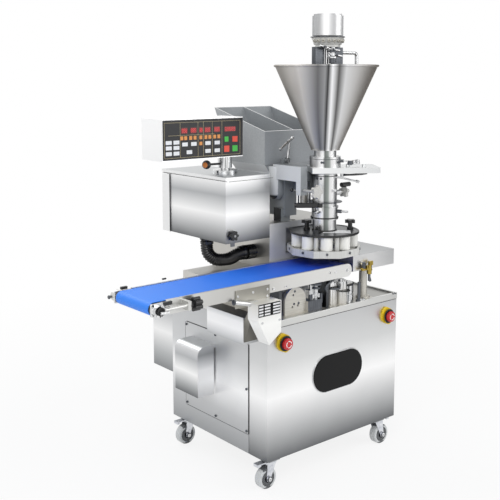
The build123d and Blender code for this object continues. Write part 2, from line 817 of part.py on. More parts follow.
# Shutter ring: nine flat faces on a floor with a round hole, pins and spacer posts
ring_reach = ring_apothem / cos(pi / shutter_count)
ring_foot_width = 60.0
ring_foot_depth = 130.0
face_angles = tuple(ring_turn + i * 360 / shutter_count for i in range(shutter_count))
pin_places = tuple(
    (axis_x + pin_circle * cos(radians(a)), axis_y + pin_circle * sin(radians(a))) for a in face_angles
)
spacer_places = tuple(
    (axis_x + spacer_circle * cos(radians(a)), axis_y + spacer_circle * sin(radians(a))) for a in spacer_angles
)
corner_turn = ring_turn + 180 / shutter_count
with BuildPart() as shutter_ring:
    with BuildSketch(Plane.XY.offset(ring_level)):
        with Locations((axis_x, axis_y)):
            RegularPolygon(ring_apothem, shutter_count, major_radius=False, rotation=corner_turn)
            Circle(ring_bore, mode=Mode.SUBTRACT)
    extrude(amount=ring_floor)
    with BuildSketch(Plane.XY.offset(ring_level + ring_floor)):
        with Locations((axis_x, axis_y)):
            RegularPolygon(ring_apothem, shutter_count, major_radius=False, rotation=corner_turn)
            RegularPolygon(ring_apothem - ring_wall, shutter_count, major_radius=False, rotation=corner_turn,
                           mode=Mode.SUBTRACT)
    extrude(amount=ring_wall_height)
    block(block_left, block_left + ring_foot_width, axis_y - ring_foot_depth / 2, axis_y + ring_foot_depth / 2,
          block_top, ring_level)
    for x, y in pin_places:
        post(x, y, ring_level + ring_floor, disc_level, pin_radius)
    for x, y in spacer_places:
        post(x, y, ring_level + ring_floor, disc_level, spacer_radius)
save(shutter_ring.part, "shutter_ring")

# Nine shutters: a white drum on its pin with the tapered vane below
hub_bottom = ring_level + ring_floor + gap
vane_bottom = ring_level + ring_floor + vane_rise
for number, angle in enumerate(face_angles, start=1):
    x, y = pin_places[number - 1]
    vane_turn = radians(angle + 180 + vane_rest_angle)
    along_x, along_y = cos(vane_turn), sin(vane_turn)
    with BuildPart() as shutter:
        post(x, y, drum_level, drum_level + drum_height, drum_radius)
        post(x, y, hub_bottom, drum_level, hub_radius)
        with BuildSketch(Plane.XY.offset(vane_bottom)):
            with BuildLine():
                Polyline(
                    (x - along_y * vane_root, y + along_x * vane_root),
                    (x + along_y * vane_root, y - along_x * vane_root),
                    (x + along_x * vane_length + along_y * vane_tip, y + along_y * vane_length - along_x * vane_tip),
                    (x + along_x * vane_length - along_y * vane_tip, y + along_y * vane_length + along_x * vane_tip),
                    close=True,
                )
            make_face()
        extrude(amount=vane_height)
        post(x, y, hub_bottom - overrun, disc_level, pin_radius + fit, mode=Mode.SUBTRACT)
    save(shutter.part, f"shutter_{number}")

# Smoked cover disc with two studs and a small catch
disc_edge = 2.0
stud_radius = 4.0
stud_height = 30.0
knob_offsets = ((-40.0, 51.0), (85.0, -48.0))
catch_offset_x = 86.0
catch_offset_y = 43.0
catch_width = 16.0
catch_depth = 12.0
catch_height = 14.0
with BuildPart() as shutter_cover:
    post(axis_x, axis_y, disc_level, disc_top, disc_radius)
    fillet(shutter_cover.edges(), radius=disc_edge)
    post(axis_x, axis_y, disc_level - overrun, disc_top + overrun, disc_bore, mode=Mode.SUBTRACT)
    for x, y in knob_offsets:
        post(axis_x + x, axis_y + y, disc_top, disc_top + stud_height, stud_radius)
    block(axis_x - catch_offset_x - catch_width / 2, axis_x - catch_offset_x + catch_width / 2,
          axis_y - catch_offset_y - catch_depth / 2, axis_y - catch_offset_y + catch_depth / 2,
          disc_top, disc_top + catch_height)
save(shutter_cover.part, "shutter_cover")

# Two black star knobs on the cover's studs
cover_knob_radius = 19.0
cover_knob_lobe = 6.0
cover_knob_lobes = 5
cover_knob_head = 12.0
cover_knob_neck_radius = 8.0
cover_knob_neck = 15.0
cover_knob_base_radius = 12.0
cover_knob_base = 9.0
for name, (x, y) in zip(("cover_knob_left", "cover_knob_right"), knob_offsets):
    knob_x, knob_y, knob_z = axis_x + x, axis_y + y, disc_top + gap
    with BuildPart() as cover_knob:
        post(knob_x, knob_y, knob_z, knob_z + cover_knob_base, cover_knob_base_radius)
        post(knob_x, knob_y, knob_z, knob_z + cover_knob_base + cover_knob_neck, cover_knob_neck_radius)
        head_plane = Plane(origin=(knob_x, knob_y, knob_z + cover_knob_base + cover_knob_neck))
        lobed(head_plane, cover_knob_radius, cover_knob_lobe, cover_knob_lobes, cover_knob_head)
        post(knob_x, knob_y, knob_z - overrun, disc_top + stud_height + gap, stud_radius + fit, mode=Mode.SUBTRACT)
    save(cover_knob.part, name)

# Filling column: nozzle, sleeve, clamp ring, tube, collar and neck round one bore
column_flange = 3.0
column_flange_height = 6.0
side_pin_radius = 5.0
side_pin_reach = 10.0
side_pin_drop = 60.0
lever_pivot_x = -50.0
lever_pivot_y = -27.0
lever_pivot_radius = 4.0
lever_ear_radius = 9.0
lever_ear = 12.0
lever_hub_radius = 8.0
lever_hub_height = 16.0
lever_drop = 3.0
handle_boss_radius = 10.0
handle_boss_reach = 56.0
handle_y = -20.0
handle_rise = 46.0
handle_stem_radius = 5.0
lever_x = axis_x + lever_pivot_x
lever_y = axis_y + lever_pivot_y
lever_bottom = tube_level + gap
handle_z = tube_level + handle_rise
inlet_radius = 20.0
casting_bottom = housing_top + casting_rise
neck_axis_z = casting_bottom + column_radius
with BuildPart() as filling_column:
    post(axis_x, axis_y, nozzle_level, sleeve_level, nozzle_radius)
    post(axis_x, axis_y, sleeve_level, clamp_level, sleeve_radius)
    post(axis_x, axis_y, clamp_level, tube_level, clamp_ring_radius)
    post(axis_x, axis_y, clamp_level, clamp_level + column_flange_height, clamp_ring_radius + column_flange)
    post(axis_x, axis_y, tube_level - column_flange_height, tube_level, clamp_ring_radius + column_flange)
    post(axis_x, axis_y, tube_level, plate_top, column_radius)
    post(axis_x, axis_y, plate_top, collar_top, collar_radius)
    post(axis_x, axis_y, collar_top, column_top, neck_radius)
    post(lever_x, lever_y, tube_level - lever_ear, tube_level, lever_ear_radius)
    post(lever_x, lever_y, tube_level - lever_ear, lever_bottom + lever_hub_height + 2 * gap, lever_pivot_radius)
    bar_x(axis_x, axis_x + handle_boss_reach, axis_y + handle_y, handle_z, handle_boss_radius)
    bar_y(axis_x, axis_y - column_radius - side_pin_reach, axis_y, tube_level + side_pin_drop, side_pin_radius)
    post(axis_x, axis_y, sleeve_level + nozzle_flange, column_top + overrun, column_bore, mode=Mode.SUBTRACT)
    post(axis_x, axis_y, nozzle_level - overrun, sleeve_level + nozzle_flange + overrun, nozzle_bore,
         mode=Mode.SUBTRACT)
    bar_y(axis_x, axis_y, axis_y + column_radius + overrun, neck_axis_z, inlet_radius, mode=Mode.SUBTRACT)
    bar_x(axis_x + column_radius, axis_x + handle_boss_reach + overrun, axis_y + handle_y, handle_z,
          handle_stem_radius + fit, mode=Mode.SUBTRACT)
save(filling_column.part, "filling_column")

# Mount plate across the column
plate_turn = -34.6
plate_back_reach = 58.0
plate_front_reach = 189.0
plate_width = 128.0
fitting_radius = 7.0
fitting_height = 10.0
fitting_places = ((80.0, -18.0), (134.0, -38.0))
plate_corner = 6.0
with BuildPart() as mount_plate:
    with BuildSketch(Plane(origin=(axis_x, axis_y, plate_level), x_dir=(cos(radians(plate_turn)),
                                                                       sin(radians(plate_turn)), 0))):
        with Locations(((plate_front_reach - plate_back_reach) / 2, 0)):
            RectangleRounded(plate_front_reach + plate_back_reach, plate_width, plate_corner)
        Circle(column_radius + fit, mode=Mode.SUBTRACT)
        for along, across in fitting_places:
            with Locations((along, across)):
                Circle(fitting_radius / 2, mode=Mode.SUBTRACT)
    extrude(amount=plate_thickness)
    with BuildSketch(Plane(origin=(axis_x, axis_y, plate_top), x_dir=(cos(radians(plate_turn)),
                                                                     sin(radians(plate_turn)), 0))):
        for along, across in fitting_places:
            with Locations((along, across)):
                Circle(fitting_radius)
    extrude(amount=fitting_height)
save(mount_plate.part, "mount_plate")

# Cone hopper: spun sheet with a rolled lip and a bottom flange on the column's neck
hopper_slope = (hopper_mouth_radius - hopper_base_radius) / hopper_height
with BuildPart() as cone_hopper:
    with BuildSketch(Plane(origin=(axis_x, axis_y, 0), x_dir=(1, 0, 0), z_dir=(0, -1, 0))):
        with BuildLine():
            Polyline(
                (column_bore, column_top),
                (hopper_base_radius, column_top),
                (hopper_base_radius, column_top + hopper_flange),
                (hopper_mouth_radius, hopper_mouth),
                (hopper_mouth_radius - hopper_sheet, hopper_mouth),
                (hopper_base_radius - hopper_sheet, column_top + hopper_flange),
                (column_bore, column_top + hopper_flange),
                close=True,
            )
        make_face()
        with Locations((hopper_mouth_radius, hopper_mouth)):
            Circle(hopper_lip)
    revolve(axis=Axis((axis_x, axis_y, 0), (0, 0, 1)))
save(cone_hopper.part, "cone_hopper")

# Agitator: shaft with two scraper blades that follow the cone
agitator_radius = 8.0
agitator_lift = 20.0
blade_thickness = 6.0
blade_width = 20.0
blade_gap = 7.0
blade_start = 34.0
blade_end = 160.0
arm_radius = 5.0
arm_margin = 14.0
motor_gap_height = 66.0
gearbox_level = hopper_mouth + motor_gap_height
blade_low = column_top + blade_start
blade_high = hopper_mouth - blade_end
blade_low_radius = hopper_base_radius + hopper_slope * blade_start - hopper_sheet - blade_gap
blade_high_radius = hopper_mouth_radius - hopper_slope * blade_end - hopper_sheet - blade_gap
with BuildPart() as agitator:
    post(axis_x, axis_y, column_top + agitator_lift, gearbox_level - gap, agitator_radius)
    for side in (-1, 1):
        blade = (
            (axis_x + side * blade_low_radius, blade_low),
            (axis_x + side * (blade_low_radius - blade_width), blade_low),
            (axis_x + side * (blade_high_radius - blade_width), blade_high),
            (axis_x + side * blade_high_radius, blade_high),
        )
        prism(facing(axis_y + blade_thickness / 2), blade, blade_thickness)
    for height in (blade_low + arm_margin, blade_high - arm_margin):
        reach = blade_low_radius + hopper_slope * (height - blade_low) - blade_width / 2
        bar_x(axis_x - reach, axis_x + reach, axis_y, height, arm_radius)
save(agitator.part, "agitator")

# Agitator motor on its bridge across the hopper's mouth, with a side arm and hook
bridge_drop = 20.0
bridge_height = 15.0
bridge_width = 30.0
bridge_leg_width = 42.0
bridge_leg_pitch = 94.0
bridge_leg_depth = 20.0
gearbox_radius = 45.0
gearbox_height = 40.0
motor_radius = 55.0
motor_height = 69.0
motor_offset = 6.0
motor_cap_radius = 50.0
motor_cap = 6.0
hook_reach = 155.0
hook_radius = 6.5
hook_rise = 61.0
hook_drop = 42.0
hook_bend = 12.0
bridge_low = hopper_mouth - bridge_drop
bridge_high = bridge_low + bridge_height
bridge_low_radius = hopper_mouth_radius - hopper_slope * bridge_drop - hopper_sheet - gap
bridge_high_radius = bridge_low_radius + hopper_slope * bridge_height
motor_x = axis_x + motor_offset
motor_level = gearbox_level + gearbox_height
hook_level = hopper_mouth + hook_rise - 2 * hook_radius
with BuildPart() as agitator_motor:
    with Locations((axis_x, axis_y, (bridge_low + bridge_high) / 2)):
        Box(2 * bridge_high_radius, bridge_width, bridge_height)
        Cone(bridge_low_radius, bridge_high_radius, bridge_height, mode=Mode.INTERSECT)
    for side in (-1, 1):
        leg_x = motor_x + side * bridge_leg_pitch / 2
        block(leg_x - bridge_leg_width / 2, leg_x + bridge_leg_width / 2, axis_y - bridge_leg_depth / 2,
              axis_y + bridge_leg_depth / 2, bridge_low, gearbox_level)
    post(motor_x, axis_y, gearbox_level, motor_level, gearbox_radius)
    post(motor_x, axis_y, motor_level, motor_level + motor_height, motor_radius)
    post(motor_x, axis_y, motor_level + motor_height, motor_level + motor_height + motor_cap, motor_cap_radius)
    with BuildSketch(Plane(origin=(motor_x + bridge_leg_pitch / 2, axis_y, hook_level), z_dir=(1, 0, 0))):
        Circle(hook_radius)
    with BuildLine(Plane(origin=(0, axis_y, 0), x_dir=(1, 0, 0), z_dir=(0, -1, 0))):
        FilletPolyline(
            (motor_x + bridge_leg_pitch / 2, hook_level),
            (axis_x + hook_reach, hook_level),
            (axis_x + hook_reach, hook_level - hook_drop),
            radius=hook_bend,
        )
    sweep()
    post(axis_x, axis_y, bridge_low - overrun, gearbox_level, agitator_radius + 2 * fit, mode=Mode.SUBTRACT)
save(agitator_motor.part, "agitator_motor")

# Screw casting: two screw bores below a tapered mouth, with its stand, neck, lugs and half-round boss
casting_left = left + casting_inset
casting_right = casting_left + casting_width
casting_front = front + casting_setback
casting_back = casting_front + casting_depth
casting_top = casting_bottom + casting_height
trough_left = left + trough_inset
trough_right = trough_left + trough_width
trough_front = front + trough_setback
trough_level = casting_top + taper_height
taper_inset = 7.0
screw_bore = 36.0
screw_inset = 56.0
screw_drop = 17.0
screw_start = 17.0
screw_end = 12.0
slot_margin = 6.0
channel_depth = 30.0
channel_height = 30.0
boss_radius = 32.0
boss_inset_x = 32.0
boss_inset_y = 5.0
boss_low = 5.0
boss_high = 24.0
column_inset = 42.0
column_width = 60.0
column_start = 30.0
column_depth = 85.0
column_clear = 19.0
foot_block_inset = 29.0
foot_block_width = 45.0
foot_block_start = 25.0
foot_block_depth = 40.0
foot_block_height = 49.0
neck_width = 80.0
neck_bottom = 15.0
bracket_inset = 11.0
bracket_width = 48.0
bracket_start = 125.0
bracket_rise = 55.0
bracket_height = 54.0
star_lug_width = 32.0
star_lug_depth = 24.0
star_lug_low = 7.0
star_rise = 25.0
crank_lug_inset = 56.0
crank_lug_width = 20.0
crank_lug_depth = 10.0
crank_rise = 121.0
crank_lug_radius = 10.0
crank_pin_radius = 4.0
crank_depth = 14.0
screw_z = casting_top - screw_drop
screw_places = (casting_left + screw_inset, casting_right - screw_inset - 4 * gap)
bore_front = casting_front + screw_start
bore_back = casting_back - screw_end
boss_x = casting_left + boss_inset_x
boss_y = casting_front + boss_inset_y
neck_front = axis_y + column_radius + gap
bracket_x = casting_left + bracket_inset
bracket_y = casting_front - bracket_start
bracket_z = casting_bottom + bracket_rise
star_x = bracket_x + star_lug_width / 2
star_y = bracket_y - star_lug_depth
star_z = casting_bottom + star_rise
crank_x = casting_left + crank_lug_inset + crank_lug_width / 2
crank_z = casting_bottom + crank_rise
with BuildPart() as screw_casting:
    block(casting_left, casting_right, casting_front, casting_back, casting_bottom, casting_top)
    with BuildSketch(Plane.XY.offset(casting_top)):
        with Locations(((casting_left + casting_right) / 2, (casting_front + taper_inset + casting_back) / 2)):
            Rectangle(casting_width, casting_depth - taper_inset)
    with BuildSketch(Plane.XY.offset(trough_level)):
        with Locations(((trough_left + trough_right) / 2, trough_front + trough_base_depth / 2)):
            Rectangle(trough_width, trough_base_depth)
    loft()
    post(boss_x, boss_y, casting_bottom + boss_low, casting_top + boss_high, boss_radius)
    with Locations((boss_x, boss_y, casting_bottom + boss_low)):
        Sphere(boss_radius)
    block(casting_left + column_inset, casting_left + column_inset + column_width, casting_front - column_start,
          casting_front - column_start + column_depth, housing_top + column_clear, casting_top)
    block(casting_left + foot_block_inset, casting_left + foot_block_inset + foot_block_width,
          casting_front - foot_block_start, casting_front - foot_block_start + foot_block_depth,
          housing_top, housing_top + foot_block_height)
    block(axis_x - neck_width / 2, axis_x + neck_width / 2, neck_front, casting_front,
          casting_bottom + neck_bottom, plate_level)
    block(bracket_x, bracket_x + bracket_width, bracket_y, casting_front, bracket_z, bracket_z + bracket_height)
    block(bracket_x, bracket_x + star_lug_width, star_y, bracket_y, casting_bottom + star_lug_low,
          bracket_z + bracket_height)
    block(crank_x - crank_lug_width / 2, crank_x + crank_lug_width / 2, casting_front - crank_lug_depth,
          casting_front + taper_inset, bracket_z, crank_z)
    bar_y(crank_x, casting_front - crank_lug_depth, casting_front, crank_z, crank_lug_radius)
    bar_y(crank_x, casting_front - crank_lug_depth - crank_depth, casting_front, crank_z, crank_pin_radius)
    for screw_x in screw_places:
        bar_y(screw_x, bore_front, bore_back, screw_z, screw_bore, mode=Mode.SUBTRACT)
        block(screw_x - screw_bore + slot_margin, screw_x + screw_bore - slot_margin, bore_front, bore_back,
              screw_z, trough_level + overrun, mode=Mode.SUBTRACT)
        bar_y(screw_x, bore_back - overrun, casting_back + overrun, screw_z, agitator_radius + 2 * fit,
              mode=Mode.SUBTRACT)
    block(screw_places[0], screw_places[1], bore_front, bore_front + channel_depth,
          screw_z - channel_height, screw_z, mode=Mode.SUBTRACT)
    bar_y(axis_x, neck_front - overrun, bore_front + channel_depth / 2, neck_axis_z, inlet_radius,
          mode=Mode.SUBTRACT)
    bar_y(star_x, star_y - overrun, bracket_y, star_z, pin_radius + fit, mode=Mode.SUBTRACT)
save(screw_casting.part, "screw_casting")

# Dough hopper: two compartments with a sloping back wall, open below over the screws
wall_slope = (trough_top_depth - trough_base_depth) / trough_back_height
with BuildPart() as dough_hopper:
    walls = (
        (trough_front, trough_level),
        (trough_front, trough_level + trough_front_height),
        (trough_front + trough_top_depth, trough_level + trough_back_height),
        (trough_front + trough_base_depth, trough_level),
    )
    prism(sideways(trough_left), walls, trough_width)
    back_low = trough_front + trough_base_depth - trough_sheet - wall_slope * overrun
    back_high = trough_front + trough_top_depth - trough_sheet + wall_slope * overrun
    hollow = (
        (trough_front + trough_sheet, trough_level - overrun),
        (trough_front + trough_sheet, trough_level + trough_back_height + overrun),
        (back_high, trough_level + trough_back_height + overrun),
        (back_low, trough_level - overrun),
    )
    bay = (trough_width - 3 * trough_sheet) / 2
    for step in (0, 1):
        prism(sideways(trough_left + trough_sheet + step * (bay + trough_sheet)), hollow, bay, mode=Mode.SUBTRACT)
save(dough_hopper.part, "dough_hopper")

# Dough screws: a shaft with short tilted paddles, left and right handed
paddle_count = 9
paddle_turn = 80.0
paddle_tilt = 28.0
paddle_width = 22.0
paddle_thickness = 5.0
paddle_reach = 32.0
paddle_margin = 12.0
shaft_tail = 8.0
for name, screw_x, hand in (("dough_screw_left", screw_places[0], 1), ("dough_screw_right", screw_places[1], -1)):
    with BuildPart() as dough_screw:
        bar_y(screw_x, bore_front + gap, casting_back + shaft_tail, screw_z, agitator_radius)
        paddle_pitch = (bore_back - bore_front - 2 * paddle_margin) / (paddle_count - 1)
        for number in range(paddle_count):
            at = Location((screw_x, bore_front + paddle_margin + number * paddle_pitch, screw_z),
                          (0, hand * number * paddle_turn, 0))
            with Locations(at):
                with Locations(Location((0, 0, paddle_reach / 2), (0, 0, hand * paddle_tilt))):
                    Box(paddle_width, paddle_thickness, paddle_reach - 2 * gap)
    save(dough_screw.part, name)

# T-crank handle on the casting's lug
crank_hub_radius = 9.0
crank_rod_radius = 5.0
crank_rod_shift = 9.0
crank_rod_height = 62.0
crank_bar_left = 34.0
crank_bar_left_height = 43.0
crank_bar_right = 24.0
crank_bar_right_height = 80.0
crank_ball_radius = 7.0
crank_y = casting_front - crank_lug_depth - crank_depth / 2
with BuildPart() as crank_handle:
    bar_y(crank_x, crank_y - crank_depth / 2 + gap, crank_y + crank_depth / 2 - gap, crank_z, crank_hub_radius)
    rod((crank_x, crank_y, crank_z), (crank_x + crank_rod_shift, crank_y, crank_z + crank_rod_height),
        crank_rod_radius)
    bar_start = (crank_x - crank_bar_left, crank_y, crank_z + crank_bar_left_height)
    bar_end = (crank_x + crank_bar_right, crank_y, crank_z + crank_bar_right_height)
    rod(bar_start, bar_end, crank_rod_radius)
    along = Vector(*bar_end) - Vector(*bar_start)
    with Locations(Plane(origin=bar_start, z_dir=along), Plane(origin=bar_end, z_dir=along)):
        Sphere(crank_ball_radius)
    bar_y(crank_x, crank_y - crank_depth, crank_y + crank_depth, crank_z, crank_pin_radius + fit,
          mode=Mode.SUBTRACT)
save(crank_handle.part, "crank_handle")

# Silver star knob on the casting's lug
star_radius = 26.0
star_lobe = 7.0
star_lobes = 5
star_thickness = 12.0
star_neck = 60.0
star_insert = 20.0
with BuildPart() as star_knob_left:
    bar_y(star_x, star_y - star_neck, star_y + star_insert, star_z, pin_radius)
    lobed(knob_facing(star_x, star_y - star_neck, star_z), star_radius, star_lobe, star_lobes, star_thickness)
save(star_knob_left.part, "star_knob_left")

# Clamp handle on the column's right boss: star, stem and a black grip
handle_star_radius = 22.0
handle_star_lobe = 6.0
handle_star_thickness = 12.0
handle_grip_radius = 8.5
handle_grip_length = 42.0
handle_grip_rise = 26.0
handle_insert = 10.0
handle_gap = 18.0
handle_x = axis_x + handle_boss_reach
with BuildPart() as clamp_handle_right:
    bar_x(handle_x - handle_insert, handle_x + handle_gap, axis_y + handle_y, handle_z, handle_stem_radius)
    star_plane = Plane(origin=(handle_x + handle_gap, axis_y + handle_y, handle_z), z_dir=(1, 0, 0))
    lobed(star_plane, handle_star_radius, handle_star_lobe, star_lobes, handle_star_thickness)
    post(handle_x + handle_gap + handle_star_thickness / 2, axis_y + handle_y, handle_z,
         handle_z + handle_grip_rise, handle_stem_radius)
    bar_x(handle_x + handle_gap + handle_star_thickness - handle_grip_length / 2,
          handle_x + handle_gap + handle_star_thickness + handle_grip_length / 2,
          axis_y + handle_y, handle_z + handle_grip_rise, handle_grip_radius)
save(clamp_handle_right.part, "clamp_handle_right")

# Black toggle lever on the clamp ring's ear
lever_tip_x = -72.0
lever_tip_y = 56.0
lever_tip_radius = 8.0
lever_neck_radius = 6.0
lever_z = lever_bottom + lever_hub_height / 2
with BuildPart() as lever_left:
    post(lever_x, lever_y, lever_bottom, lever_bottom + lever_hub_height, lever_hub_radius)
    rod((lever_x, lever_y, lever_z), (lever_x + lever_tip_x, lever_y + lever_tip_y, lever_z), lever_neck_radius)
    rod((lever_x + lever_tip_x / 2, lever_y + lever_tip_y / 2, lever_z),
        (lever_x + lever_tip_x, lever_y + lever_tip_y, lever_z), lever_tip_radius)
    post(lever_x, lever_y, lever_bottom - overrun, lever_bottom + lever_hub_height + overrun,
         lever_pivot_radius + fit, mode=Mode.SUBTRACT)
save(lever_left.part, "lever_left")

# Motor box with its lid, latch stud and tab
motor_box_bottom = housing_top - motor_box_overlap
motor_box_top = motor_box_bottom + motor_box_height
motor_box_left = housing_left - motor_box_width
motor_box_back = housing_front + motor_box_depth
lid_top = motor_box_top + lid_thickness
latch_inset = 28.0
latch_rise = 28.0
latch_stud = 18.0
latch_boss_radius = 8.0
latch_boss = 4.0
tab_inset = 22.0
tab_width = 18.0
tab_sheet = 3.0
tab_drop = 12.0
latch_x = motor_box_left + latch_inset
latch_z = motor_box_bottom + latch_rise
with BuildPart() as motor_box:
    block(motor_box_left, housing_left, housing_front, motor_box_back, motor_box_bottom, motor_box_top)
    block(motor_box_left - lid_overhang, housing_left - lid_overhang, housing_front - lid_overhang,
          motor_box_back + lid_overhang, motor_box_top, lid_top)
    block(motor_box_left + sheet, housing_left - sheet, housing_front + sheet, motor_box_back - sheet,
          motor_box_bottom + sheet, motor_box_top - sheet, mode=Mode.SUBTRACT)
    bar_y(latch_x, housing_front - latch_boss, housing_front, latch_z, latch_boss_radius)
    bar_y(latch_x, housing_front - latch_stud, housing_front, latch_z, stud_radius)
    block(motor_box_left + tab_inset, motor_box_left + tab_inset + tab_width, housing_front,
          housing_front + tab_sheet, motor_box_bottom - tab_drop, motor_box_bottom)
save(motor_box.part, "motor_box")

# Latch knob on its stud
latch_knob_radius = 18.0
latch_knob_lobe = 5.0
latch_knob_lobes = 6
latch_knob_depth = 12.0
with BuildPart() as latch_knob:
    latch_plane = knob_facing(latch_x, housing_front - latch_boss - gap, latch_z)
    lobed(latch_plane, latch_knob_radius, latch_knob_lobe, latch_knob_lobes, latch_knob_depth)
    bar_y(latch_x, housing_front - latch_stud - 2 * gap, housing_front, latch_z, stud_radius + fit,
          mode=Mode.SUBTRACT)
save(latch_knob.part, "latch_knob")

# Hose between the motor box's underside and the rear housing's side
hose_radius = 21.0
hose_inset_x = 39.0
hose_inset_y = 162.0
hose_collar = 10.0
hose_collar_radius = 26.0
elbow_length = 37.0
elbow_radius = 27.0
elbow_drop = 114.0
elbow_setback = 95.0
hose_fall = 62.0
hose_turn_x = 29.0
hose_turn_y = 15.0
hose_low = 91.0
hose_run_x = 76.0
hose_run_y = 47.0
hose_lift = 88.0
hose_exit = 28.0
hose_x = motor_box_left + hose_inset_x
hose_y = housing_front + hose_inset_y
elbow_x = housing_left - elbow_length
elbow_y = housing_front + elbow_setback
elbow_z = housing_top - elbow_drop
hose_start = (hose_x, hose_y, motor_box_bottom - hose_collar)
hose_points = (
    hose_start,
    (hose_x, hose_y, motor_box_bottom - hose_fall),
    (hose_x + hose_turn_x, hose_y - hose_turn_y, motor_box_bottom - hose_low),
    (hose_x + hose_run_x, hose_y - hose_run_y, motor_box_bottom - hose_lift),
    (elbow_x - hose_exit, elbow_y, elbow_z),
    (elbow_x, elbow_y, elbow_z),
)
hose_runs = [Vector(*b) - Vector(*a) for a, b in zip(hose_points, hose_points[1:])]
hose_radii = [
    0.45 * min(a.length, b.length) / tan(radians(a.get_angle(b)) / 2) for a, b in zip(hose_runs, hose_runs[1:])
]
print("hose radii", [round(r, 1) for r in hose_radii])
with BuildPart() as hose:
    with BuildLine() as hose_path:
        FilletPolyline(*hose_points, radius=hose_radii)
    with BuildSketch(Plane(origin=hose_start, z_dir=hose_runs[0])):
        Circle(hose_radius)
    sweep()
print("hose volume share", round(hose.part.volume / (pi * hose_radius**2 * hose_path.wire().length), 4))
save(hose.part, "hose")

# Hose fittings: collar under the box and nut on the housing
with BuildPart() as hose_fittings:
    post(hose_x, hose_y, motor_box_bottom - hose_collar, motor_box_bottom, hose_collar_radius)
    bar_x(elbow_x, housing_left, elbow_y, elbow_z, elbow_radius)
save(hose_fittings.part, "hose_fittings")

# Panel post on the motor box's lid
panel_post_radius = 20.0
panel_post_height = 90.0
panel_collar_radius = 46.0
panel_collar = 13.0
panel_x = left + panel_axis_x
panel_y = front + panel_axis_y
panel_bottom = lid_top + panel_lift
with BuildPart() as panel_post:
    post(panel_x, panel_y, lid_top, lid_top + panel_collar, panel_collar_radius)
    post(panel_x, panel_y, lid_top, lid_top + panel_post_height, panel_post_radius)
save(panel_post.part, "panel_post")

# Control box on its sleeve, with the clamp knob's bore
panel_sleeve_radius = 26.0
panel_sleeve = 45.0
panel_socket = 30.0
panel_edge = 3.0
clamp_drop = 30.0
clamp_rod_radius = 4.0
clamp_reach = 83.0
clamp_ball_radius = 16.0
shaft_clear = 0.1
control_left = left - panel_reach
control_right = control_left + panel_width
control_front = front + panel_setback
control_back = control_front + panel_depth
control_top = panel_bottom + panel_height
clamp_z = panel_bottom - clamp_drop
with BuildPart() as control_box:
    block(control_left, control_right, control_front, control_back, panel_bottom, control_top)
    fillet(control_box.edges().filter_by(Axis.Z), radius=panel_edge)
    block(control_left + sheet, control_right - sheet, control_front + sheet, control_back - sheet,
          panel_bottom + sheet, control_top - sheet, mode=Mode.SUBTRACT)
    post(panel_x, panel_y, panel_bottom - panel_sleeve, panel_bottom + panel_socket, panel_sleeve_radius)
    post(panel_x, panel_y, panel_bottom - panel_sleeve - overrun, lid_top + panel_post_height + gap,
         panel_post_radius + shaft_clear, mode=Mode.SUBTRACT)
    bar_x(panel_x - panel_sleeve_radius - overrun, panel_x - panel_post_radius + gap, panel_y, clamp_z,
          clamp_rod_radius + fit, mode=Mode.SUBTRACT)
save(control_box.part, "control_box")

# Clamp knob with its ball
with BuildPart() as clamp_knob:
    bar_x(panel_x - clamp_reach, panel_x - panel_post_radius - gap, panel_y, clamp_z, clamp_rod_radius)
    with Locations((panel_x - clamp_reach, panel_y, clamp_z)):
        Sphere(clamp_ball_radius)
save(clamp_knob.part, "clamp_knob")

# Emergency stops: yellow bases on the front cover, red mushroom buttons
estop_left_inset = 71.0
estop_right_inset = 58.0
estop_drop = 56.0
estop_radius = 30.0
estop_plate = 8.0
estop_collar_radius = 15.0
estop_collar = 6.0
estop_travel = 4.0
estop_stem_radius = 8.0
estop_cap_radius = 20.0
estop_cap = 12.0
estop_cap_edge = 4.0
estop_floor = 1.0
estop_z = cabinet_top - estop_drop
estop_places = (left + estop_left_inset, right - estop_right_inset)
collar_face = front - estop_plate - estop_collar
cap_back = collar_face - estop_travel - gap
with BuildPart() as estop_bases:
    for x in estop_places:
        bar_y(x, front - estop_plate, front, estop_z, estop_radius)
        bar_y(x, collar_face, front, estop_z, estop_collar_radius)
        bar_y(x, collar_face - overrun, front - estop_floor, estop_z, estop_stem_radius + fit, mode=Mode.SUBTRACT)
save(estop_bases.part, "estop_bases")
for name, x in zip(("estop_button_left", "estop_button_right"), estop_places):
    with BuildPart() as estop_button:
        bar_y(x, cap_back - estop_cap, cap_back, estop_z, estop_cap_radius)
        fillet(estop_button.edges().group_by(Axis.Y)[0], radius=estop_cap_edge)
        bar_y(x, cap_back, front - estop_floor - estop_travel - gap, estop_z, estop_stem_radius)
    save(estop_button.part, name)

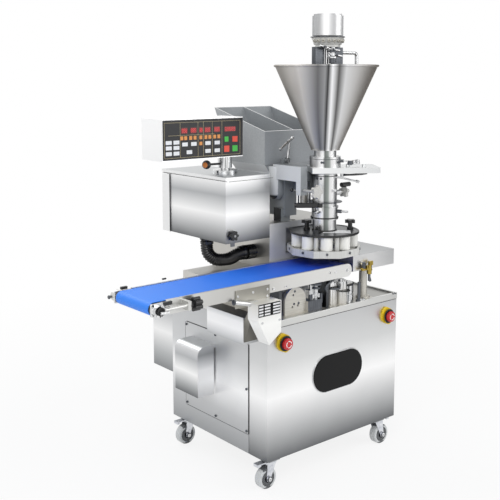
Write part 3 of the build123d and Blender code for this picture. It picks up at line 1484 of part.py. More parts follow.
# Screws: one group of separate button heads on the cover, the rail and the ring
screw_radius = 4.5
screw_head = 3.0
socket_radius = 2.2
socket_depth = 1.6
screw_inset_y = 8.0
screw_inset_z = 9.0
rail_screw_backs = (352.8, 297.92, 89.376, 59.584)
rail_screw_rise_shares = (0.25, 0.25, 0.58, 0.56)
cover_screws = (
    (cover_front + screw_inset_y, cover_bottom + screw_inset_z),
    (cover_front + cover_length / 2, cover_bottom + screw_inset_z),
    (cover_front + cover_length - screw_inset_y, cover_bottom + screw_inset_z),
    (cover_front + screw_inset_y, cover_bottom + cover_height / 2),
    (cover_front + cover_length - screw_inset_y, cover_bottom + cover_height - screw_inset_z),
    (cover_front + cover_length / 2, cover_bottom + cover_height - screw_inset_z),
)
with BuildPart() as screws:
    for y, z in cover_screws:
        bar_x(cover_face - screw_head, cover_face, y, z, screw_radius)
        bar_x(cover_face - screw_head - overrun, cover_face - screw_head + socket_depth, y, z, socket_radius,
              mode=Mode.SUBTRACT)
    for back, up in zip(rail_screw_backs, rail_screw_rise_shares):
        x = drive_x - back
        z = rail_bottom + up * rail_height
        bar_y(x, rail_front - screw_head, rail_front, z, screw_radius)
        bar_y(x, rail_front - screw_head - overrun, rail_front - screw_head + socket_depth, z, socket_radius,
              mode=Mode.SUBTRACT)
    for angle in face_angles:
        normal = (cos(radians(angle)), sin(radians(angle)))
        z = ring_level + ring_floor + ring_wall_height / 2
        face = (axis_x + ring_apothem * normal[0], axis_y + ring_apothem * normal[1], z)
        tip = (face[0] + screw_head * normal[0], face[1] + screw_head * normal[1], z)
        rod(face, tip, screw_radius)
save(screws.part, "screws")
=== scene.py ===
# %% [markdown]
# # Dressing a food depositing machine
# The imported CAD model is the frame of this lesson: every solid already has its place and its size, in
# metres, with the floor at Z 0 and the front of the machine towards -Y. Blender adds what the eye reads:
# brushed steel, cast iron paint, plastics, rubber, and the small pieces that are too thin for the solids.

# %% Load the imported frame
import math
import bpy
import numpy as np
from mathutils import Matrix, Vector


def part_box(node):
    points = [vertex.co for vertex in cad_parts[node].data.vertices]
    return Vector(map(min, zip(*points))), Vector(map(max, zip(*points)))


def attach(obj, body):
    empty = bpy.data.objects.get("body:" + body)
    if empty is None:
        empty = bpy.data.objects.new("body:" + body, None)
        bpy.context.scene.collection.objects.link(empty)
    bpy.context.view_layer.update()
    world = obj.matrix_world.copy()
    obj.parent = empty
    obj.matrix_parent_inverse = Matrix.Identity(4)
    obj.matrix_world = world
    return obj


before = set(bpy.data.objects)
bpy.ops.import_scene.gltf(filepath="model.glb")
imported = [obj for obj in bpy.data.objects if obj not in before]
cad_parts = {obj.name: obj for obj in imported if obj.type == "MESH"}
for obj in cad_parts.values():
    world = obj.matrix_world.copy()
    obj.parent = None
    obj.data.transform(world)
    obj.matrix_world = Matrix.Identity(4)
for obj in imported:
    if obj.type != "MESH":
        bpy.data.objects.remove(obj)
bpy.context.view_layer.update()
MM = 0.001


def spot(node):
    """The lowest and highest corner of a CAD node, in millimetres."""
    low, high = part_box(node)
    return np.array(low) / MM, np.array(high) / MM


# %% [markdown]
# ## The camera
# A camera is matched to a photograph by solving for the point where the edges of the object meet the
# picture. The solved place is 3 m away at eye height, with a lens of 61 mm on a 36 mm sensor, and a small
# vertical shift, because the photograph was cropped above the middle of the lens.

# %% Place the camera
camera_data = bpy.data.cameras.new("camera")
camera = bpy.data.objects.new("camera", camera_data)
bpy.context.scene.collection.objects.link(camera)
bpy.context.scene.camera = camera
camera.location = (-1.904, -2.393, 1.408)
camera.rotation_euler = (math.radians(82.47), 0, math.radians(-39.74))
camera_data.lens = 61.3
camera_data.sensor_width = 36
camera_data.shift_y = -0.12
bpy.context.scene.view_settings.view_transform = "Standard"
print("camera at", tuple(camera.location), "lens", camera_data.lens)

# %% [markdown]
# ## Colours and nodes
# Colours are chosen as sRGB hex values, the numbers a paint program shows, while the renderer counts light
# in linear values. One function turns the first into the second. A second small function adds a shader
# node, fills its sockets and draws its links, so that each finish below reads as a short list.

# %% Colour and node helpers
def colour(code):
    """An sRGB hex value as linear RGBA: a channel below 0.04045 is divided by 12.92, the rest follow the
    2.4 power."""
    channels = [int(code[i:i + 2], 16) / 255 for i in (1, 3, 5)]
    return tuple(c / 12.92 if c <= 0.04045 else ((c + 0.055) / 1.055) ** 2.4 for c in channels) + (1.0,)


def add(tree, kind, settings=None, links=None):
    """Adds one shader node. A setting fills the input socket of that name, or else the node's own property.
    Stops fill a colour ramp, as in "0 #808080, 0.5 #ffffff". A link joins an input to (node, output)."""
    node = tree.nodes.new("ShaderNode" + kind)
    for name, value in (settings or {}).items():
        if name == "stops":
            ramp = node.color_ramp
            stops = [stop.split() for stop in value.split(",")]
            while len(ramp.elements) < len(stops):
                ramp.elements.new(0.5)
            for element, (place, code) in zip(ramp.elements, stops):
                element.position = float(place)
                element.color = colour(code)
        elif isinstance(name, int) or name in node.inputs:
            node.inputs[name].default_value = value
        else:
            setattr(node, name, value)
    for name, (source, output) in (links or {}).items():
        tree.links.new(source.outputs[output], node.inputs[name])
    return node


def maths(tree, operation, first, second):
    """A Math node with two inputs, each given as (node, output)."""
    return add(tree, "Math", {"operation": operation}, {0: first, 1: second})


print("mid grey #808080 is", round(colour("#808080")[0], 3), "in linear light")

# %% [markdown]
# ## Background, floor and lamps
# A product photograph on white paper has a background that is white by itself, not by extra light on the
# product. Light Path tells which ray asks: the camera and the mirror-like rays see plain white, while the
# diffuse rays get a calm grey light. The floor is matt paper that is mostly white to the camera, so that
# only a faint shadow stays under the wheels, and from 2.6 m away it is as white as the background.

# %% Make the world
def seen_by(tree, first, *others):
    """An output that is 1 for the named kinds of ray and 0 for all others."""
    ray = add(tree, "LightPath")
    seen = ray, f"Is {first} Ray"
    for kind in others:
        seen = maths(tree, "MAXIMUM", seen, (ray, f"Is {kind} Ray")), 0
    return seen


world = bpy.data.worlds.new("studio")
bpy.context.scene.world = world
world.use_nodes = True
sky = world.node_tree
sky.nodes.clear()
seen = seen_by(sky, "Camera", "Glossy", "Transmission")
soft = add(sky, "Background", {"Color": colour("#f4f6f8"), "Strength": 0.62})
white = add(sky, "Background", {"Color": colour("#ffffff"), "Strength": 1.0})
mixed = add(sky, "MixShader", {}, {0: seen, 1: (soft, 0), 2: (white, 0)})
add(sky, "OutputWorld", {}, {"Surface": (mixed, 0)})


def flat_card(name, corners, material):
    """A sheet with four corners in metres."""
    mesh = bpy.data.meshes.new(name)
    mesh.from_pydata(corners, [], [(0, 1, 2, 3)])
    mesh.materials.append(material)
    card = bpy.data.objects.new(name, mesh)
    bpy.context.scene.collection.objects.link(card)
    return card


paper = bpy.data.materials.new("matt_white_paper")
paper.use_nodes = True
tree = paper.node_tree
tree.nodes.clear()
coords = add(tree, "TexCoord")
away = add(tree, "VectorMath", {"operation": "LENGTH"}, {0: (coords, "Object")})
whiter = {"From Min": 0.9, "From Max": 2.6, "To Min": 0.84, "To Max": 1.0}
paper_share = add(tree, "MapRange", whiter, {"Value": (away, "Value")})
share = maths(tree, "MULTIPLY", seen_by(tree, "Camera", "Glossy"), (paper_share, 0))
matt = add(tree, "BsdfDiffuse", {"Color": colour("#f2f2f2")})
glow = add(tree, "Emission", {"Color": colour("#ffffff"), "Strength": 1.0})
mixed = add(tree, "MixShader", {}, {0: (share, 0), 1: (matt, 0), 2: (glow, 0)})
add(tree, "OutputMaterial", {}, {"Surface": (mixed, 0)})
flat_card("floor", [(-30, -30, 0), (30, -30, 0), (30, 30, 0), (-30, 30, 0)], paper)

felt = bpy.data.materials.new("dark_felt")
felt.use_nodes = True
felt_body = felt.node_tree.nodes["Principled BSDF"]
felt_body.inputs["Base Color"].default_value = colour("#3c3e42")
felt_body.inputs["Roughness"].default_value = 0.9
print("world and floor ready")

# %% [markdown]
# Polished metal is only as interesting as the things around it. A studio hangs dark cards just outside the
# picture, and their reflections draw the edges of a white room on the steel. The cards here are hidden from
# the camera, like those of the studio, and three large soft lamps do the rest.

# %% Lamps and cards
def lamp(name, place, target, size, power):
    """A square area lamp that faces its target."""
    data = bpy.data.lights.new(name, "AREA")
    data.size = size
    data.energy = power
    lamp_object = bpy.data.objects.new(name, data)
    lamp_object.location = place
    lamp_object.rotation_euler = (Vector(target) - Vector(place)).to_track_quat("-Z", "Y").to_euler()
    bpy.context.scene.collection.objects.link(lamp_object)
    return lamp_object


lamp("key", (-2.6, -2.2, 3.4), (0, 0, 0.8), 2.2, 62)
lamp("fill", (2.4, -2.8, 2.0), (0.1, 0, 0.8), 2.2, 34)
lamp("rim", (-0.4, 2.6, 3.0), (0, 0, 1.0), 2.0, 30)
cards = (
    flat_card("card_right", [(2.2, -1.9, 0.1), (2.2, 0.4, 0.1), (2.2, 0.4, 2.4), (2.2, -1.9, 2.4)], felt),
    flat_card("card_left", [(-2.6, 0.3, 0.1), (-2.6, 1.5, 0.1), (-2.6, 1.5, 2.0), (-2.6, 0.3, 2.0)], felt),
)
for card in cards:
    card.visible_camera = False
    card.visible_diffuse = False
    card.visible_shadow = False

# %% [markdown]
# ## Finishes
# Every finish on this machine is built alike. A pattern coordinate in millimetres runs through a colour
# ramp, a fine grain changes the roughness, and the same grain lifts the surface a little. What differs is
# where the ramp runs: with the height for bent sheet steel, across a spun cone and round a turned collar,
# where it holds painted reflections, or with the grain itself for paint.

# %% A finish from a ramp, a grain and a roughness
def along(direction, start, end):
    """A ramp place that grows from 0 to 1 as the distance along a direction goes from start to end, in
    millimetres."""
    def place(tree, coords):
        dot = add(tree, "VectorMath", {"operation": "DOT_PRODUCT", 1: direction}, {0: (coords, "Object")})
        return add(tree, "MapRange", {"From Min": start * MM, "From Max": end * MM},
            {"Value": (dot, "Value")}), "Result"
    return place


def from_axis(tree, coords, x, y):
    """The coordinates, counted from an upright axis at x, y in millimetres."""
    return add(tree, "VectorMath", {"operation": "SUBTRACT", 1: (x * MM, y * MM, 0)}, {0: (coords, "Object")})


def round_axis(x, y):
    """A ramp place that grows from 0 to 1 once round an upright axis, starting from the -X side."""
    def place(tree, coords):
        parts = add(tree, "SeparateXYZ", {}, {0: (from_axis(tree, coords, x, y), 0)})
        angle = maths(tree, "ARCTAN2", (parts, "Y"), (parts, "X"))
        return add(tree, "MapRange", {"From Min": -math.pi, "From Max": math.pi},
            {"Value": (angle, 0)}), "Result"
    return place


def across_cone(x, y, mouth_radius, right):
    """A ramp place for painted upright reflection streaks on a cone. With s the distance from the axis along
    right, r the cone's radius at that point and t = |s| / r, it is 0.5 + 0.5 ((1 - t) s / mouth_radius +
    t s / r): streaks near the middle stay parallel and those near the outline follow it."""
    def place(tree, coords):
        shifted = from_axis(tree, coords, x, y), 0
        flat = add(tree, "VectorMath", {"operation": "MULTIPLY", 1: (1, 1, 0)}, {0: shifted})
        radius = add(tree, "VectorMath", {"operation": "LENGTH"}, {0: (flat, 0)})
        side = add(tree, "VectorMath", {"operation": "DOT_PRODUCT", 1: right}, {0: (flat, 0)})
        near = add(tree, "Math", {"operation": "DIVIDE", 1: mouth_radius * MM}, {0: (side, "Value")})
        far = maths(tree, "DIVIDE", (side, "Value"), (radius, "Value"))
        share = add(tree, "Math", {"operation": "ABSOLUTE"}, {0: (far, 0)})
        step = maths(tree, "SUBTRACT", (far, 0), (near, 0))
        blend = add(tree, "Math", {"operation": "MULTIPLY_ADD"}, {0: (step, 0), 1: (share, 0), 2: (near, 0)})
        return add(tree, "MapRange", {"From Min": -1.0, "From Max": 1.0}, {"Value": (blend, 0)}), "Result"
    return place


SPOTS = 90 * MM


def finish(name, tones, grain=1.0, stretch=(1, 1, 1), where=None, metal=0.0, rough=0.4, spread=0.06, lift=0.0,
           drift=0.12, ior=1.5, clear=0.0):
    """A material. tones is the colour ramp, grain the size of the fine pattern in mm, stretch how many
    times longer it is along X, Y and Z, where the ramp's place or None for the grain itself, lift the
    height of the grain in mm, and drift how far broad soft spots of 90 mm move the ramp."""
    made = bpy.data.materials.new(name)
    made.use_nodes = True
    tree = made.node_tree
    body = tree.nodes["Principled BSDF"]
    coords = add(tree, "TexCoord")
    scale = tuple(1 / (grain * MM * s) for s in stretch)
    fine = add(tree, "Mapping", {"Scale": scale}, {"Vector": (coords, "Object")})
    fine = add(tree, "TexNoise", {"Scale": 1.0, "Detail": 2.0}, {"Vector": (fine, 0)})
    broad = add(tree, "TexNoise", {"Scale": 1 / SPOTS, "Detail": 1.0}, {"Vector": (coords, "Object")})
    source = where(tree, coords) if where else (fine, "Fac")
    shift = add(tree, "MapRange", {"To Min": -drift, "To Max": drift}, {"Value": (broad, "Fac")})
    moved = maths(tree, "ADD", source, (shift, 0))
    ramp = add(tree, "ValToRGB", {"stops": tones}, {0: (moved, 0)})
    gloss = add(tree, "MapRange", {"To Min": max(rough - spread, 0.02), "To Max": rough + spread},
        {"Value": (fine, "Fac")})
    tree.links.new(ramp.outputs[0], body.inputs["Base Color"])
    tree.links.new(gloss.outputs[0], body.inputs["Roughness"])
    if lift:
        bump = add(tree, "Bump", {"Strength": 0.6, "Distance": lift * MM}, {"Height": (fine, "Fac")})
        tree.links.new(bump.outputs[0], body.inputs["Normal"])
    if metal:
        body.inputs["Metallic"].default_value = metal
    else:
        body.inputs["IOR"].default_value = ior
    if clear:
        body.inputs["Coat Weight"].default_value = clear
    return made


print("finish helper ready")

# %% [markdown]
# ### Stainless sheet
# The covers are AISI 304 stainless sheet with a fine brushed finish. Brushing leaves parallel scratches of
# a tenth of a millimetre, drawn here at 2 mm so that they show, and a bent sheet shows the room as soft
# bands that follow its height. The bands go into the ramp, because the real room with its white walls and
# grey ceiling isn't here.

# %% Brushed stainless sheets
FLAT_X = (60, 1, 1)
UPRIGHT = (1, 1, 60)


def sheet_steel(name, tones, low, high, direction=(0, 0, 1), stretch=FLAT_X, rough=0.36, metal=1.0):
    """Brushed AISI 304, with painted reflection bands along a direction from low to high in mm. Its roughness
    goes from 0.3 to 0.42 where none is given, and metal below 1 lifts the darkest reflections of a sheet that
    faces a bright wall."""
    return finish(name, tones, grain=2.0, stretch=stretch, where=along(direction, low, high), metal=metal,
        rough=rough, spread=0.06, lift=0.02, drift=0.012)


# Every ramp below holds painted reflections: the light and dark bands a room would leave on the sheet.
side_tones = "0 #909294, 0.3 #c8c9ca, 0.5 #ffffff, 0.7 #d4d5d6, 1 #c4c5c6"
steels = {
    "cabinet_shell": sheet_steel("brushed_304_cabinet", side_tones, 72, 558, metal=0.75),
    "front_cover": sheet_steel("brushed_304_front_cover",
        "0 #707274, 0.2 #c0c1c2, 0.45 #ffffff, 0.7 #dadbdb, 1 #c8c9ca", 100, 592),
    "access_cover": sheet_steel("brushed_304_access_cover", side_tones, 72, 558, metal=0.75),
    "motor_box": sheet_steel("brushed_304_motor_box",
        "0 #707274, 0.25 #c8c9ca, 0.45 #fafafa, 0.75 #b4b6b8, 1 #fafafa", 832, 1057),
    "table_top": sheet_steel("brushed_304_table", "0 #c9cac8, 0.5 #dadad8, 1 #cccdcb", -400, 600,
        direction=(0.7, 0.5, 0)),
    "rear_housing": sheet_steel("brushed_304_rear_housing",
        "0 #e2e1de, 0.12 #d0d0cf, 0.4 #c9cacb, 0.7 #c4c6c9, 1 #babcbf", 95, 320, direction=(1, 0, 0),
        stretch=UPRIGHT, rough=0.52, metal=0.6),
    "control_box": sheet_steel("brushed_304_control_box", "0 #fafafa, 0.6 #ffffff, 1 #ffffff", 1130, 1270,
        metal=0.7),
    "conveyor_frame": sheet_steel("brushed_304_conveyor", "0 #d9d9d7, 0.4 #bdbcb8, 0.6 #d6d5d2, 1 #e9e9e7",
        -500, 300, direction=(1, 0, 0)),
    "drive_bracket": sheet_steel("brushed_304_drive_bracket",
        "0 #77756f, 0.35 #aeaca5, 0.7 #8a8881, 1 #7e7c75", 528, 745, direction=(0.25, 0, 0.97)),
    "drive_cover": sheet_steel("brushed_304_drive_cover", "0 #f2f2f0, 0.5 #fbfbf9, 1 #dddcd8", 541, 684,
        metal=0.7),
    "mount_plate": sheet_steel("brushed_304_mount_plate", "0 #dfe1e2, 0.5 #f2f3f3, 1 #d5d7d8", -200, 500,
        direction=(1, 0, 0)),
    "head_block": sheet_steel("brushed_304_head_block", "0 #dcdddd, 0.5 #e9e9e9, 1 #d6d7d8", 300, 550,
        direction=(1, 0, 0)),
}
# Painted reflection bands of their own for the side boxes, the back box and the vent hood.
box_bands = sheet_steel("brushed_304_side_boxes",
    "0 #bdbfc0, 0.2 #dfe0e1, 0.5 #ffffff, 0.8 #f8f8f8, 1 #d5d6d7", 519, 612, metal=0.8)
back_bands = sheet_steel("brushed_304_back_box",
    "0 #8d8f91, 0.25 #b9bbbc, 0.6 #f4f4f4, 0.85 #cfd0d1, 1 #b9bbbc", 272, 520)
hood_bands = sheet_steel("brushed_304_vent_hood",
    "0 #707274, 0.2 #b8babb, 0.45 #fafafa, 0.75 #b8babc, 1 #e6e6e7", 264, 448)
# A lighter copy of the hood's bands for its front side: painted light.
hood_side_painted_light = sheet_steel("brushed_304_hood_side",
    "0 #e0e0e0, 0.3 #ffffff, 0.55 #fafafa, 0.85 #a2a4a6, 1 #c8c9cb", 264, 448, metal=0.5)
# Upper faces get a darker steel that darkens further towards +X: painted shade.
top_steel_painted_shade = sheet_steel("brushed_304_upper_faces_painted_shade", "0 #c3c5c6, 0.5 #aeb0b1, 1 #9fa1a3", 200, 560,
    direction=(1, 0.3, 0))
# Upward faces of the table and the rear housing darken towards +X: painted shade.
deck_steel_painted_shade = sheet_steel("brushed_304_deck_painted_shade", "0 #cfcdc8, 0.5 #c2c0bb, 1 #a7a6a2", -150, 420,
    direction=(1, 0.2, 0))
# A bright steel for edges and rims: painted highlight.
painted_highlight_steel = sheet_steel("painted_highlight_sheet_edge", "0 #dedfdf, 1 #f4f4f4", 0, 1500)
# Dark steel for parts of the belt lift, also laid on the side box's top as painted shadow.
dark_steel_and_painted_shadow = sheet_steel("shaded_304_bracket", "0 #3a3c3e, 0.5 #55575a, 1 #46484a", 560, 760)
print("nodes in sheet steel:", len(steels))

# %% [markdown]
# ### Turned and spun metal
# The cone hopper is spun from a disc, which leaves fine rings, and its satin surface gathers the room into
# upright streaks. These painted reflections go into the ramp, which therefore runs across the cone as the
# camera sees it, with a dark streak beside a bright one. Rods, cylinders and collars are turned and
# polished. Their painted reflection streaks are sharper: where a part has its own axis the ramp runs round
# it, and on small rods a grain that is thirty times taller than wide draws them.

# %% Spun, turned and polished metal
axis_x, axis_y = 264.0, -210.0
# The cone's painted reflection streaks run across the camera's right direction, so they line up with this
# view only.
CAMERA_RIGHT = (0.769, -0.639, 0)
# Painted reflection streaks for polished rods, drawn by a grain thirty times taller than wide.
streaked = "0 #2f3133, 0.3 #55585a, 0.42 #c9cacb, 0.52 #f4f4f4, 0.64 #a7a9ab, 0.8 #e8e8e8, 1 #6c6f72"
finishes = {
    # Painted reflection streaks: a dark streak beside a bright one across the cone.
    "spun": finish("spun_satin_304", ("0 #807b74, 0.2 #e4e1dc, 0.38 #767574, 0.45 #a0a0a0, 0.48 #303030, "
        "0.52 #ffffff, 0.58 #5c5b5a, 0.65 #dadada, 1 #867d72"), grain=2.5, stretch=(40, 40, 1),
        where=across_cone(axis_x, axis_y, 180, CAMERA_RIGHT), metal=0.75, rough=0.5, spread=0.04, lift=0.01,
        drift=0.001),
    "polished": finish("polished_304_rods", streaked, grain=7, stretch=(1, 1, 30), metal=1.0, rough=0.2,
        spread=0.04, drift=0.05),
    # Painted reflection bands that run round the column's axis.
    "chromed": finish("turned_polished_collar",
        ("0 #e8e8e8, 0.1 #f0f0f0, 0.12 #707472, 0.17 #989e9a, 0.19 #e0e0e0, 0.4 #c8c9ca, 0.9 #7a7c7e, "
        "1 #e8e8e8"), grain=2, stretch=(20, 20, 1), where=round_axis(axis_x, axis_y), metal=1.0, rough=0.38,
        spread=0.04, drift=0.004),
    "cast": finish("grey_hammer_paint", "0.2 #93979b, 0.5 #9b9fa3, 0.8 #a3a6aa", grain=5, rough=0.42,
        spread=0.05, lift=0.12, clear=0.15),
    # A slightly darker copy of the hammer paint for the hopper's inside: painted shade; it is also rougher
    # and has no coat.
    "cast_inner_painted_shade": finish("grey_hammer_paint_inside_painted_shade", "0.2 #92969a, 0.5 #9a9ea1, 0.8 #a2a5a7", grain=5,
        rough=0.5, spread=0.05, lift=0.12),
    # A lighter copy of the hammer paint for the hopper's left faces: painted light.
    "cast_side_painted_light": finish("grey_hammer_paint_side_painted_light", "0.2 #9da0a3, 0.5 #a5a8aa, 0.8 #adafb1", grain=5,
        rough=0.42, spread=0.05, lift=0.12, clear=0.15),
    # The casting lightens upward and towards the front left: painted light.
    "cast_painted_light": finish("blue_grey_casting_painted_light", "0 #83878a, 0.3 #989c9f, 0.6 #aaadaf, 1 #c3c5c7", grain=4,
        where=along((-0.25, -0.35, 0.9), 985, 1115), rough=0.38, spread=0.05, lift=0.08, drift=0.1,
        clear=0.2),
    # The casting's left faces: near black below about 980 mm as painted shadow of the gap beside the motor
    # box, lighter above as painted highlight.
    "cast_left_painted_shade": finish("grey_casting_left_painted_shade", "0 #1d1e1f, 0.46 #2a2b2c, 0.54 #c6c8ca, 1 #d8dadb",
        grain=4, where=along((0, 0, 1), 940, 1020), rough=0.42, spread=0.05, lift=0.08, drift=0.0),
    # The belt darkens steadily towards +X: painted shade.
    "belt": finish("blue_pu_belt_painted_shade", "0 #3288f8, 0.45 #2478f2, 0.66 #1c62e4, 0.8 #1a3fb4, 1 #101f6a",
        grain=1.6, where=along((1, 0.1, 0), -540, 330), rough=0.5, lift=0.05, drift=0.03),
    "acetal": finish("white_acetal", "0.2 #f0efea, 0.6 #f4f3ee, 0.9 #f7f6f2", grain=4, rough=0.4, ior=1.48),
    "smoked": finish("smoked_acrylic", "0.2 #26282b, 0.5 #303236, 0.9 #3d4044", grain=30, rough=0.3,
        spread=0.05, ior=1.49),
    "knob": finish("moulded_black_phenolic", "0.2 #121213, 0.6 #1b1b1d, 0.9 #29292b", grain=3, rough=0.34,
        lift=0.03, ior=1.55),
    "hose": finish("ribbed_black_rubber", "0.2 #0c0c0e, 0.6 #131316, 0.9 #1e1e22", grain=2, rough=0.34,
        lift=0.06, ior=1.52),
    "fitting": finish("glossy_black_fitting", "0.2 #0f1013, 0.6 #16181b, 0.9 #24262a", grain=3, rough=0.26,
        ior=1.52, clear=0.2),
    "brass": finish("machined_brass", "0.2 #7d6a2e, 0.5 #b39b4a, 0.8 #d8c27a", grain=3, metal=1.0,
        rough=0.3),
    "yellow": finish("moulded_yellow_abs", "0.2 #e0b90c, 0.6 #eec81a, 0.9 #f6d838", grain=3, rough=0.38,
        lift=0.02),
    "red": finish("moulded_red_abs", "0.2 #a80f16, 0.6 #cc1a22, 0.9 #d83438", grain=3, rough=0.3, lift=0.02,
        clear=0.2),
    "wheel": finish("grey_nylon_wheel", "0.2 #c4c6c6, 0.6 #d3d5d5, 0.9 #dfe0e0", grain=3, rough=0.5,
        lift=0.05),
    "tread": finish("dark_polyurethane_tread", "0.2 #4b4d4f, 0.6 #5d5f61, 0.9 #75777a", grain=2.5,
        rough=0.55, lift=0.08),
    "zinc": finish("zinc_plated_fork", "0.2 #b9bcc4, 0.5 #d9dbe0, 0.85 #eff0f2", grain=12, metal=1.0,
        rough=0.34),
    "aluminium": finish("anodised_aluminium", "0.2 #c2c2bf, 0.5 #cfcfcc, 0.85 #dcdcd9", grain=2,
        stretch=(1, 1, 20), metal=0.3, rough=0.5, lift=0.02),
    "cast_star": finish("vibratory_polished_casting", "0.2 #b0afac, 0.5 #c2c1be, 0.85 #d6d5d2", grain=3,
        metal=0.35, rough=0.4, lift=0.03),
    "arch": finish("milled_aluminium_plate", "0.2 #bab7af, 0.5 #c9c6be, 0.85 #d9d6ce", grain=2,
        stretch=(30, 1, 1), metal=0.6, rough=0.46, lift=0.02),
    # Painted reflection bands that run round the motor's axis.
    "motor_grey": finish("satin_motor_shell",
        ("0 #b8b9ba, 0.1 #f2f2f2, 0.2 #bababb, 0.25 #f6f6f6, 0.4 #f0f0f0, 0.55 #bcbcbd, 0.9 #888a8c, "
        "1 #b8b9ba"), grain=2, where=round_axis(axis_x + 6, axis_y), metal=0.8, rough=0.46, spread=0.04,
        drift=0.002),
    "gunmetal": finish("dark_machined_steel", "0.2 #4b4e53, 0.5 #5d6065, 0.85 #75787d", grain=3,
        stretch=(1, 1, 12), metal=0.7, rough=0.36),
    "orange": finish("orange_end_cap", "0.2 #c8702a, 0.8 #e08a3c", grain=3, rough=0.4),
}
print("other finishes:", len(finishes))

# %% [markdown]
# Now each CAD node gets the finish of its real part. A node's material slots are filled, and its mesh stays
# as it is. Several nodes are more than one material on the real machine, as the motor on its dark legs,
# and on others some faces get copies with painted reflections, highlights and shade, so one small function
# gives the faces that pass a test another slot. It works on whole arrays of face centres and face normals.

# %% Finish for each node
CASTERS = [f"{end}_{side}" for end in ("front", "back") for side in ("left", "right")]
wears = dict(steels)
wears.update({node: finishes[name] for name, nodes in {
    "spun": ["cone_hopper"], "chromed": ["filling_column"], "polished": ["agitator", "dough_screw_left",
        "dough_screw_right", "drive_roller", "tail_roller", "crank_handle", "panel_post", "screws"],
    # The belt's finish darkens towards +X with painted shade.
    # The screw casting's finish lightens upward with painted light.
    "cast": ["dough_hopper"], "cast_painted_light": ["screw_casting"], "belt": ["belt"],
    "acetal": [f"shutter_{i}" for i in range(1, 10)], "smoked": ["shutter_cover"],
    "knob": ["cover_knob_left", "cover_knob_right", "tension_knob", "latch_knob", "clamp_knob", "lever_left"],
    "hose": ["hose"], "fitting": ["hose_fittings"], "brass": ["air_valve"], "yellow": ["estop_bases"],
    "red": ["estop_button_left", "estop_button_right"], "motor_grey": ["agitator_motor"],
    "zinc": [f"caster_fork_{caster}" for caster in CASTERS],
    "wheel": [f"caster_wheel_{caster}" for caster in CASTERS],
    "aluminium": ["shutter_ring"], "cast_star": ["star_knob_left", "clamp_handle_right"],
    "arch": ["belt_lift"],
}.items() for node in nodes})
for node, node_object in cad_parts.items():
    node_object.data.materials.clear()
    node_object.data.materials.append(wears[node])


def paint(node, material, test):
    """Gives the faces of a CAD node that pass the test another material. The test gets their centres in mm
    as x, y, z and their unit normals as an (n, 3) array."""
    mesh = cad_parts[node].data
    count = len(mesh.polygons)
    centres, normals, marks = np.empty(count * 3), np.empty(count * 3), np.empty(count, np.int32)
    mesh.polygons.foreach_get("center", centres)
    mesh.polygons.foreach_get("normal", normals)
    mesh.polygons.foreach_get("material_index", marks)
    x, y, z = centres.reshape(-1, 3).T / MM
    chosen = test(x, y, z, normals.reshape(-1, 3))
    mesh.materials.append(material)
    marks[chosen] = len(mesh.materials) - 1
    mesh.polygons.foreach_set("material_index", marks)
    print(f"{node}: {int(chosen.sum())} faces wear {material.name}")


mouth_z = spot("cone_hopper")[1][2]
legs_top, flange_top = mouth_z + 64, mouth_z + 96
TREAD = 5
# Painted reflection bands for the back box and the side boxes.
paint("cabinet_shell", back_bands, lambda x, y, z, n: y > 256)
paint("cabinet_shell", box_bands, lambda x, y, z, n: (x < -95) & (z > 515))
# Painted shadow: the top of the side box lies in the drive cover's shade.
paint("cabinet_shell", dark_steel_and_painted_shadow, lambda x, y, z, n: (x < -95) & (z > 515) & (n[:, 2] > 0.7))
# Painted reflection bands on the vent hood.
paint("access_cover", hood_bands, lambda x, y, z, n: x < -96)
# Painted light: the hood's front side gets the lighter copy of its bands.
paint("access_cover", hood_side_painted_light, lambda x, y, z, n: (x < -96) & (n[:, 1] < -0.6))
# Painted shade on the upper faces of the hood.
paint("access_cover", top_steel_painted_shade, lambda x, y, z, n: (x < -96) & (n[:, 2] > 0.6))
# Painted shade on the table top, darker towards +X.
paint("table_top", deck_steel_painted_shade, lambda x, y, z, n: (n[:, 2] > 0.9) & (z < 590))
# Painted shade on the rear housing's top and left faces, darker towards +X.
paint("rear_housing", deck_steel_painted_shade, lambda x, y, z, n: (n[:, 2] > 0.7) | (n[:, 0] < -0.7) | (x < 94))
# Painted shade on the upper faces of the motor box.
paint("motor_box", top_steel_painted_shade, lambda x, y, z, n: (z > 1060) & (n[:, 2] > 0.7))
# Painted highlight along the edge of the motor box lid.
paint("motor_box", painted_highlight_steel, lambda x, y, z, n: (z > 1055) & (abs(n[:, 2]) < 0.7))
# The strip at the back of the motor box's left face gets the same painted highlight.
paint("motor_box", painted_highlight_steel, lambda x, y, z, n: (n[:, 0] < -0.9) & (y > 236) & (z < 1056))
# Painted shade on the upper faces of the head block.
paint("head_block", top_steel_painted_shade, lambda x, y, z, n: n[:, 2] > 0.7)
# Painted shadow below and painted highlight above on the casting's left faces.
paint("screw_casting", finishes["cast_left_painted_shade"], lambda x, y, z, n: (n[:, 0] < -0.5) & (x < 175))
# Painted light: the hopper's left faces get the lighter copy of the hammer paint.
paint("dough_hopper", finishes["cast_side_painted_light"], lambda x, y, z, n: n[:, 0] < -0.9)
# Painted shade: the hopper's inside gets the slightly darker copy.
paint("dough_hopper", finishes["cast_inner_painted_shade"], lambda x, y, z, n: (x > 122) & (x < 403) & (y > -41))
